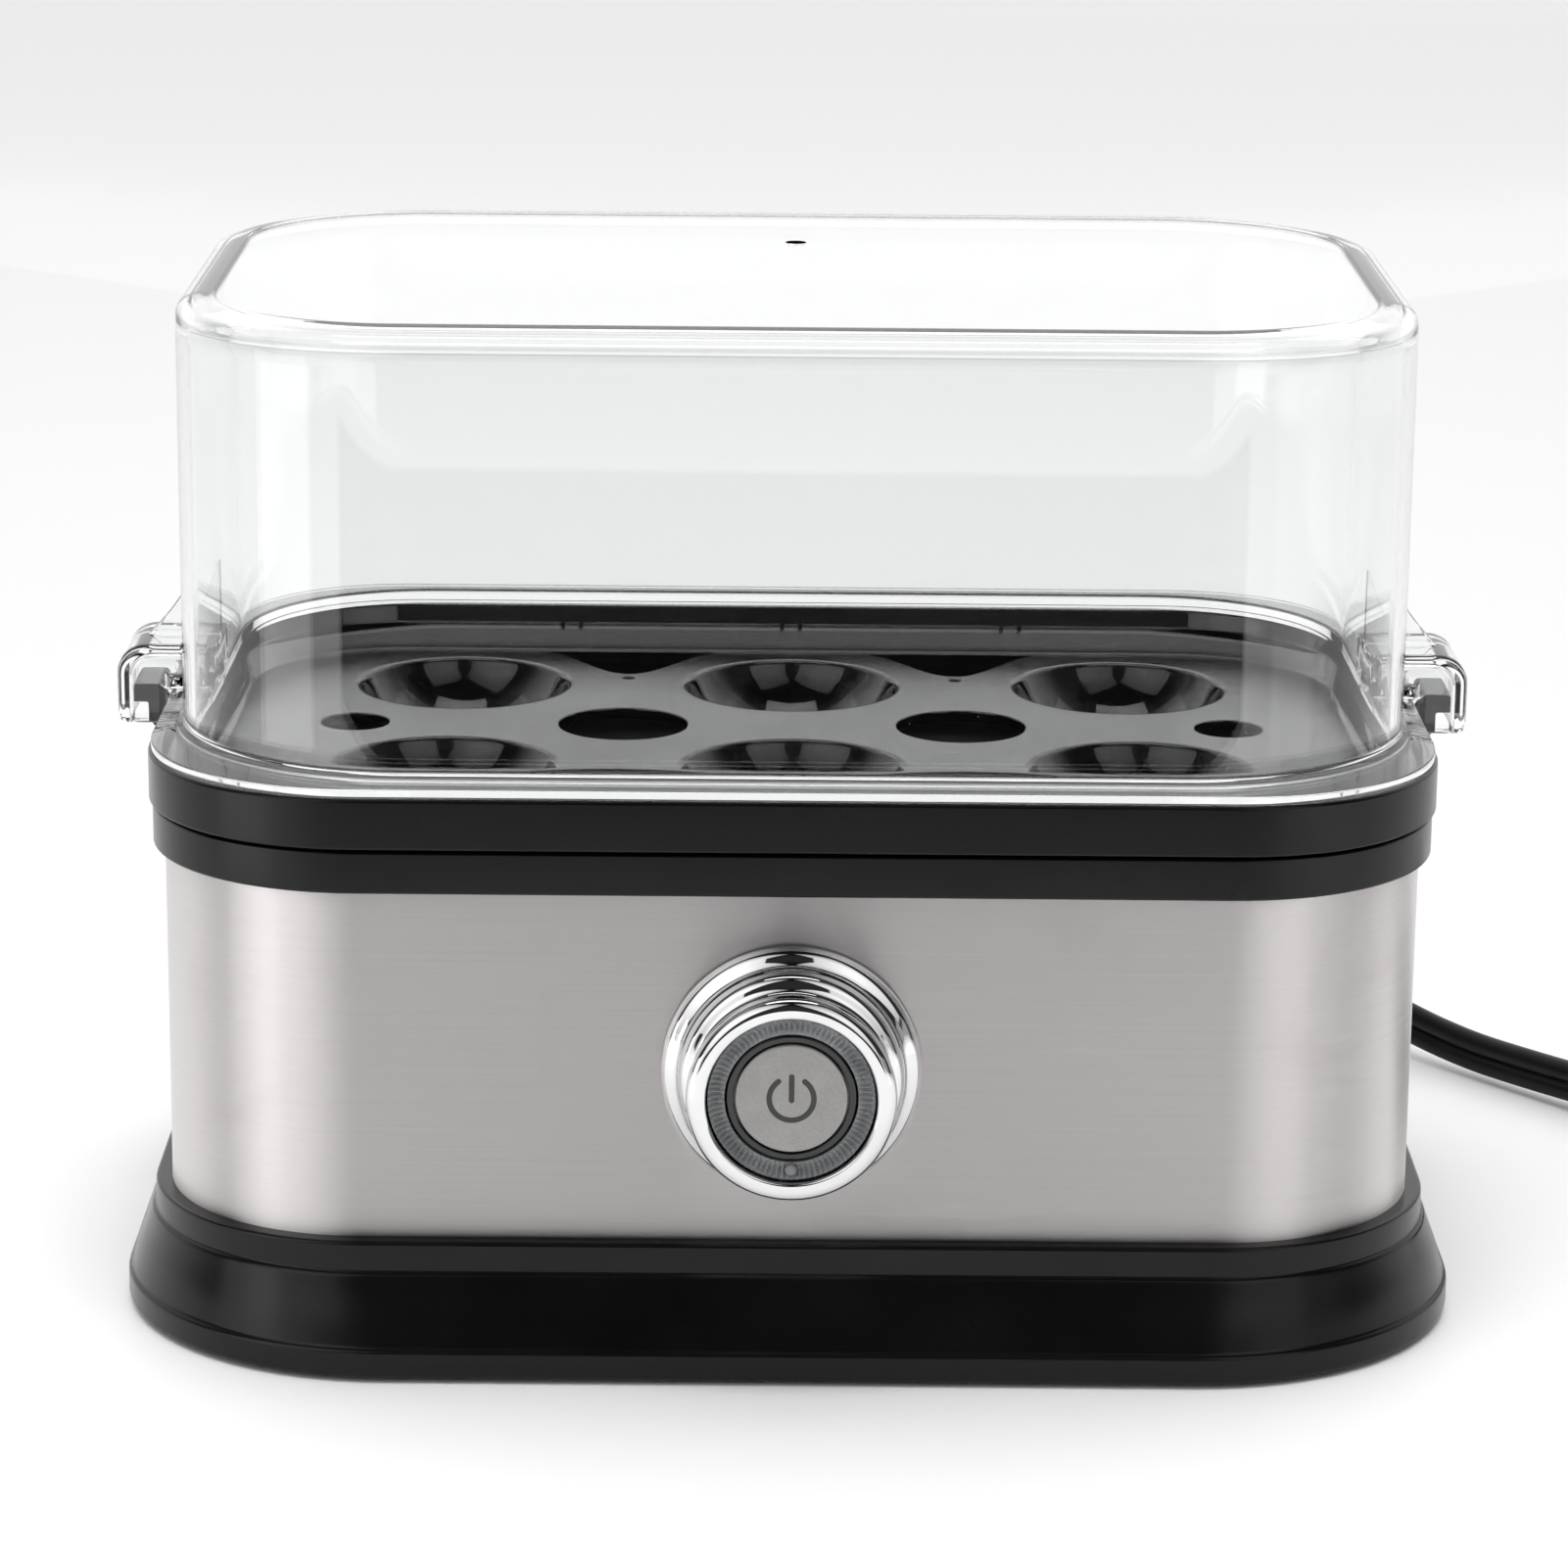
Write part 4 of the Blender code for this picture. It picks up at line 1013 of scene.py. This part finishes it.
def make_plug(rubbery, metal_finish):
    """A moulded two-blade plug with finger grooves, lying on the coil and pointing back."""
    x0, y0 = COIL_X + TAIL_RADIUS, COIL_Y
    sections = [(0.7, 3.4, 4.9, 2.0), (2.5, 3.9, 5.2, 2.1), (6.0, 4.6, 5.4, 2.2), (9.5, 6.2, 5.8, 2.4),
                (12.5, 8.6, 6.3, 2.8), (14.5, 9.6, 6.5, 3.2)]
    for i in range(4):
        y = 16.0 + 2.6 * i
        sections += [(y, 9.8, 6.5, 3.4), (y + 0.7, 9.2, 6.0, 3.4), (y + 1.3, 9.2, 6.0, 3.4),
                     (y + 1.9, 9.8, 6.5, 3.4)]
    sections += [(27.0, 10.0, 6.5, 3.6), (29.3, 10.0, 6.5, 3.8), (30.0, 9.4, 5.9, 3.8)]
    rings = [[(x0 + x, y0 + y, PLUG_Z + z) for x, z in superellipse(half_w, half_t, power)]
             for y, half_w, half_t, power in sections]
    body = place(solid("plug_moulding", [rings]), rubbery, "housing", "cord_black", "plug_body", angle=50)
    pieces = [body]
    for number, offset in enumerate((-BLADE_OFFSET, BLADE_OFFSET), 1):
        x = x0 - offset
        low, high = y0 + 30.3, y0 + 47.5
        profile = [(low, -3.1), (high - 1.6, -3.1), (high, -1.9), (high, 1.9), (high - 1.6, 3.1),
                   (low, 3.1)]
        sides = [[(x + dx, y, PLUG_Z + z) for y, z in profile] for dx in (-0.75, 0.75)]
        blade = solid(f"blade_{number}", [sides])
        hole = [[(x + dx, high - 4.2 + math.cos(math.tau * i / 24) * 1.55,
                  PLUG_Z + math.sin(math.tau * i / 24) * 1.55) for i in range(24)] for dx in (-2, 2)]
        combine(blade, "DIFFERENCE", solid("blade_hole", [hole]))
        bevelled(blade, 0.2, 2)
        pieces.append(place(blade, metal_finish, "housing", "brass", f"plug_blade_{number}"))
    return pieces


def make_tie(finish):
    """A ribbed strap round the turns of the coil."""
    low_r, high_r, low_z, high_z = 33.7, 48.7, 1.1, 9.9
    inner = soften(((low_r, low_z), (high_r, low_z), (high_r, high_z), (low_r, high_z)),
                   (1.6,) * 4, 5, True)
    outer = soften(((low_r - 0.8, low_z - 0.8), (high_r + 0.8, low_z - 0.8), (high_r + 0.8, high_z + 0.8),
                    (low_r - 0.8, high_z + 0.8)), (2.2,) * 4, 5, True)
    turn = math.radians(110.0)
    along = Vector((math.cos(turn), math.sin(turn), 0))
    side = Vector((-along.y, along.x, 0))
    rings = []
    for (ri, zi), (ro, zo) in zip(inner, outer):
        ring = []
        for r, z, across in ((ri, zi, -4.0), (ro, zo, -4.0), (ro, zo, -3.4), (ro, zo, 3.4),
                             (ro, zo, 4.0), (ri, zi, 4.0)):
            ring.append(Vector((COIL_X, COIL_Y, 0)) + along * r + side * across + Vector((0, 0, z)))
        rings.append(ring)
    return place(solid("lead_tie", [rings], closed=True), finish, "housing", "rubber", "cord_tie")


# -------- pieces kept from the frame

def dress_nodes(finishes):
    """Better materials for the CAD nodes that stay in sight."""
    chosen = {
        "inner_frame": "satin_black", "bezel_nut": "satin_black", "switch_body": "satin_black",
        "switch_plunger": "white_plastic", "indicator_lamp": "frosted_plastic",
        "terminal_block": "white_plastic", "dish_gasket": "silicone", "heating_element": "element_sheath",
        "thermostat": "ceramic", "thermal_fuse": "aluminium", "lead_live": "red_lead",
        "lead_neutral": "white_plastic", "lead_heater": "cord_black",
    }
    for node, finish in chosen.items():
        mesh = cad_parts[node].data
        mesh.materials.clear()
        mesh.materials.append(finishes[finish])


# -------- studio

def stage_card(kit, name, corners):
    """A flat card of the studio."""
    card = bpy.data.meshes.new(name)
    card.from_pydata([Vector(p) * MM for p in corners], [], [(0, 1, 2, 3)])
    obj = bpy.data.objects.new(name, card)
    bpy.context.scene.collection.objects.link(obj)
    card.materials.append(kit.material)
    return obj


def make_floor():
    kit = Nodes("floor", (0.905, 0.905, 0.905), 0.6)
    kit.link("Base Color", kit.mix(kit.noise(3.0), (0.9, 0.9, 0.9), (0.91, 0.91, 0.91)))
    side = FLOOR_SIDE
    corners = [(-side, -side, 0), (side, -side, 0), (side, side, 0), (-side, side, 0)]
    return stage_card(kit, "floor", corners)


def make_flag():
    """A low black card in front of the object, so that the clear lid stays free of glare."""
    kit = Nodes("flag", (0.012, 0.012, 0.012), 0.9)
    kit.bump(kit.noise(300.0), 0.1, 0.0005)
    corners = [(-310, FLAG_Y, 0), (290, FLAG_Y, 0), (290, FLAG_Y, FLAG_HIGH), (-310, FLAG_Y, FLAG_HIGH)]
    stage_card(kit, "flag", corners).visible_camera = False


def make_world():
    """A studio dome: bright behind the object, dim overhead and dark on the camera's side."""
    world = bpy.data.worlds.new("studio")
    bpy.context.scene.world = world
    world.use_nodes = True
    tree = world.node_tree
    background = tree.nodes["Background"]
    place = tree.nodes.new("ShaderNodeTexCoord")
    parts = tree.nodes.new("ShaderNodeSeparateXYZ")
    tree.links.new(place.outputs["Generated"], parts.inputs[0])
    levels = []
    for axis, ends in DOME:
        ramp = tree.nodes.new("ShaderNodeMapRange")
        ramp.interpolation_type = "SMOOTHSTEP"
        for key, value in zip(("From Min", "From Max", "To Min", "To Max"), ends):
            ramp.inputs[key].default_value = value
        tree.links.new(parts.outputs[axis], ramp.inputs["Value"])
        levels.append(ramp.outputs["Result"])
    total = tree.nodes.new("ShaderNodeMath")
    total.operation = "MULTIPLY"
    for number, level in enumerate(levels):
        tree.links.new(level, total.inputs[number])
    tree.links.new(total.outputs[0], background.inputs["Strength"])
    background.inputs["Color"].default_value = (1.0, 1.0, 1.0, 1.0)


def add_light(name, azimuth, elevation, distance, width, height, radiance, spread, target, only=None):
    """A softbox facing its target. only is the one object that it lights."""
    data = bpy.data.lights.new(name, "AREA")
    data.shape = "RECTANGLE"
    data.size = width
    data.size_y = height
    half = math.radians(spread / 2)
    share = 1.0 - half / math.tan(half)
    data.energy = radiance * math.pi * width * height * share
    data.spread = 2 * half
    light = bpy.data.objects.new(name, data)
    bpy.context.scene.collection.objects.link(light)
    a, e = math.radians(azimuth), math.radians(elevation)
    spot = Vector((math.sin(a) * math.cos(e), -math.cos(a) * math.cos(e), math.sin(e))) * distance
    light.location = Vector(target) + spot
    light.rotation_euler = spot.to_track_quat("Z", "Y").to_euler()
    light.visible_camera = False
    if only:
        group = bpy.data.collections.new(name + "_receivers")
        group.objects.link(only)
        light.light_linking.receiver_collection = group


def make_lights(floor):
    for *settings, floor_only in LIGHTS:
        add_light(*settings, floor if floor_only else None)


def colour_settings():
    settings = bpy.context.scene.view_settings
    settings.view_transform = "Standard"
    settings.look = "None"
    settings.exposure = 0.0
    bpy.context.scene.cycles.transparent_max_bounces = 24
    bpy.context.scene.cycles.transmission_bounces = 16
    bpy.context.scene.cycles.max_bounces = 18


def main():
    make_camera()
    finishes = make_materials()
    lead, path = make_lead(finishes["cord_black"])
    with_pieces = make_plug(finishes["cord_black"], finishes["brass"])
    with_pieces.append(make_tie(finishes["rubber"]))
    make_lid(finishes["clear_plastic"])
    make_tray(finishes["gloss_black"], finishes["satin_black"], finishes["floor_black"])
    make_collar(finishes["satin_black"])
    make_band(finishes["brushed_steel"])
    make_base(finishes["satin_black"])
    make_cover(finishes["satin_black"])
    make_feet(finishes["rubber"])
    make_screws(finishes["brushed_steel"])
    make_dish(finishes["coated"])
    make_relief(finishes["satin_black"])
    make_bezel(finishes["chrome"])
    make_light_ring(finishes["frosted_plastic"])
    make_button(finishes["gloss_black"], finishes["silver_face"])
    make_symbol(finishes["gloss_black"])
    dress_nodes(finishes)
    floor = make_floor()
    make_flag()
    make_world()
    make_lights(floor)
    colour_settings()


main()
